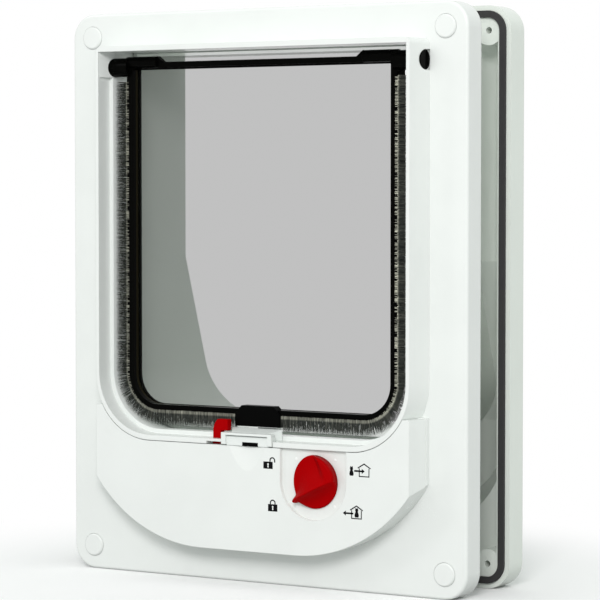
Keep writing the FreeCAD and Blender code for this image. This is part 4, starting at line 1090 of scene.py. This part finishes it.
@dataclass
class PivotHousing:
    """The white insert beside the flap's left pivot: a prism in line with the collar's wall."""

    outer: float = -76.6
    inner: float = -74.35
    front: float = -22.9
    slant_end: float = -13.8
    back: float = -13.0
    low: float = 93.9
    high: float = 104.9

    def build(self) -> None:
        """Adds the prism: the same four corners at its bottom and at its top."""
        corners = [(self.outer, self.front), (self.inner, self.slant_end), (self.inner, self.back),
                   (self.outer, self.back)]
        count = len(corners)
        points = np.array([(x, y, z) for z in (self.low, self.high) for x, y in corners])
        mesh = bpy.data.meshes.new("pivot_housing_left")
        sides = [(k, (k + 1) % count, count + (k + 1) % count, count + k) for k in range(count)]
        mesh.from_pydata((points * MM).tolist(), [],
                         [tuple(range(count)), tuple(range(count, 2 * count)), *sides])
        turn_outwards(mesh)
        add_piece("pivot_housing_left", mesh, Body.FRAME, WHITE)


@dataclass
class CatchSlotShade:
    """A black block set back from the bracket's face: painted shade for the inside of the cover's catch
    slot.
    """

    left: float = -2.55
    right: float = 5.25
    low: float = -62.48
    high: float = -60.92
    front: float = -22.9
    back: float = -18.1

    def build(self) -> None:
        """Adds the block from its eight corners."""
        points = np.array([(x, y, z) for z in (self.low, self.high) for y in (self.front, self.back)
                           for x in (self.left, self.right)])
        sides = [(0, 1, 3, 2), (4, 6, 7, 5), (0, 4, 5, 1), (2, 3, 7, 6), (0, 2, 6, 4), (1, 5, 7, 3)]
        mesh = bpy.data.meshes.new("catch_slot_painted_shade")
        mesh.from_pydata((points * MM).tolist(), [], sides)
        turn_outwards(mesh)
        # The black block stands in for the shadow inside the slot.
        add_piece("catch_slot_painted_shade", mesh, Body.FRAME, BLACK)


@dataclass
class Dressing:
    """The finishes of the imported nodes, sub-assembly by sub-assembly."""

    frame: dict

    def room_side(self) -> None:
        """The inner frame with its caps, hinge clips and catch."""
        caps = [f"screw_cap_{number}" for number in range(1, 5)]
        dress(self.frame, WHITE, "inner_frame", "hinge_clip_left", "hinge_clip_right", *caps)
        dress(self.frame, WHITE_CAP, "catch_bracket", "magnet_housing")
        dress(self.frame, MAGNET, "sill_magnet")

    def flap(self) -> None:
        """The flap and its magnet."""
        dress(self.frame, SMOKED, "flap_panel")
        dress(self.frame, PILE, "pile_seal")
        dress(self.frame, BLACK, "magnet_holder")
        dress(self.frame, MAGNET, "flap_magnet")

    def control(self) -> None:
        """The cover, the knob and what the knob works."""
        dress(self.frame, WHITE, "control_cover")
        dress(self.frame, RED, "lock_knob", "knob_spindle", "entry_latch")
        dress(self.frame, WHITE_CAP, "exit_latch")
        dress(self.frame, BLACK, "lock_cam")

    def electrics(self) -> None:
        """The battery, board, coil and sensor under the cover."""
        dress(self.frame, BATTERY, "block_battery")
        dress(self.frame, BLACK, "battery_snap", "coil_bobbin", "collar_sensor")
        dress(self.frame, BOARD, "circuit_board")
        dress(self.frame, COPPER, "coil_winding")
        dress(self.frame, IRON, "coil_core", "catch_armature")

    def outdoor_side(self) -> None:
        """The outer frame, in a white darkened by painted shade, and its gasket."""
        dress(self.frame, WHITE_OUTER_SHADED, "outer_frame")
        dress(self.frame, FOAM, "door_gasket")


@dataclass
class Studio:
    """Camera, lamps, world and floor."""

    lens: float = 161.64
    sensor: float = 36.0
    camera_place: tuple[float, float, float] = (0.6128, -0.9722, 0.0478)
    camera_pitch: float = -2.47
    camera_turn: float = 31.72
    fill: float = 0.775
    fill_tint: Colour = (0.955, 1.0, 0.98)
    background: float = 1.0
    key_power: float = 20.5
    key_tint: Colour = (1.0, 0.965, 0.98)
    key_size: float = 0.6
    key_place: tuple[float, float, float] = (0.84, -1.66, 0.86)
    side_power: float = 3.0
    side_size: float = 0.25
    side_place: tuple[float, float, float] = (-1.3, -1.2, 1.0)
    floor_height: float = -122.0
    floor_reach: float = 6.0
    floor_near: float = 0.11
    floor_far: float = 0.24
    floor_seen: Colour = (0.97, 0.97, 0.97)
    floor_bounce: Colour = (0.5, 0.5, 0.5)

    def _camera(self) -> None:
        """Places the camera at the photograph's angle."""
        camera = bpy.data.objects.new("camera", bpy.data.cameras.new("camera"))
        camera.data.lens = self.lens
        camera.data.sensor_width = self.sensor
        camera.data.clip_start = 0.01
        camera.location = self.camera_place
        camera.rotation_euler = (math.radians(90.0 + self.camera_pitch), 0.0,
                                 math.radians(self.camera_turn))
        bpy.context.scene.collection.objects.link(camera)
        bpy.context.scene.camera = camera

    def _world(self) -> None:
        """Plain white surroundings, brighter to the camera and to gloss than to dull surfaces."""
        world = bpy.data.worlds.new("studio")
        bpy.context.scene.world = world
        world.use_nodes = True
        tree = Tree(world.node_tree.nodes, world.node_tree.links)
        rays = tree.outputs("ShaderNodeLightPath", None, "Is Camera Ray", "Is Glossy Ray",
                            "Is Transmission Ray")
        seen = rays[0].most(rays[1]).most(rays[2])
        soft = tree.node("ShaderNodeBackground", inputs={"Color": self.fill_tint, "Strength": self.fill})
        bright = tree.node("ShaderNodeBackground",
                           inputs={"Color": (1.0, 1.0, 1.0), "Strength": self.background})
        tree.close(tree.node("ShaderNodeMixShader", inputs={0: seen, 1: soft, 2: bright}),
                   "ShaderNodeOutputWorld")

    def _lamp(self, name: str, power: float, size: float, place: tuple[float, float, float]) -> None:
        """Adds one soft square lamp, turned to the object."""
        lamp = bpy.data.objects.new(name, bpy.data.lights.new(name, "AREA"))
        lamp.data.energy = power
        lamp.data.color = self.key_tint
        lamp.data.size = size
        lamp.location = place
        lamp.rotation_euler = (-Vector(place)).to_track_quat("-Z", "Y").to_euler()
        bpy.context.scene.collection.objects.link(lamp)

    def _floor(self) -> None:
        """A pale floor that keeps the shadow near the object and is plain white further off."""
        reach = self.floor_reach
        height = self.floor_height * MM
        mesh = bpy.data.meshes.new("floor")
        mesh.from_pydata([(-reach, -reach, height), (reach, -reach, height), (reach, reach, height),
                          (-reach, reach, height)], [], [(0, 1, 2, 3)])
        material = bpy.data.materials.new("floor")
        material.use_nodes = True
        tree = Tree(material.node_tree.nodes, material.node_tree.links)
        x, y, _ = tree.axes()
        distance = (x * x + y * y).root()
        rays = tree.outputs("ShaderNodeLightPath", None, "Is Camera Ray", "Is Glossy Ray",
                            "Is Transmission Ray")
        seen = rays[0].most(rays[1]).most(rays[2])
        plain = tree.node("ShaderNodeEmission", inputs={"Color": (1.0, 1.0, 1.0), "Strength": 1.0})
        pale = tree.blend(seen, self.floor_bounce, self.floor_seen)
        dull = tree.node("ShaderNodeBsdfDiffuse", inputs={"Color": pale})
        share = distance.ramp(self.floor_near, self.floor_far) * seen
        tree.close(tree.node("ShaderNodeMixShader", inputs={0: share, 1: dull, 2: plain}))
        mesh.materials.append(material)
        floor = bpy.data.objects.new("floor", mesh)
        bpy.context.scene.collection.objects.link(floor)

    def build(self) -> None:
        """Makes the studio."""
        bpy.context.scene.view_settings.view_transform = "Standard"
        self._camera()
        self._world()
        self._lamp("key", self.key_power, self.key_size, self.key_place)
        self._lamp("side", self.side_power, self.side_size, self.side_place)
        self._floor()


def main() -> None:
    """Loads the frame, dresses it and adds what the solids leave out."""
    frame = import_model()
    Studio().build()
    dressing = Dressing(frame)
    dressing.room_side()
    dressing.flap()
    dressing.control()
    dressing.electrics()
    dressing.outdoor_side()
    Brush().build()
    KnobGrip().build()
    PivotHousing().build()
    CatchSlotShade().build()
    Signs().build()


if __name__ == "__main__":
    logging.basicConfig(level=logging.INFO)
    main()
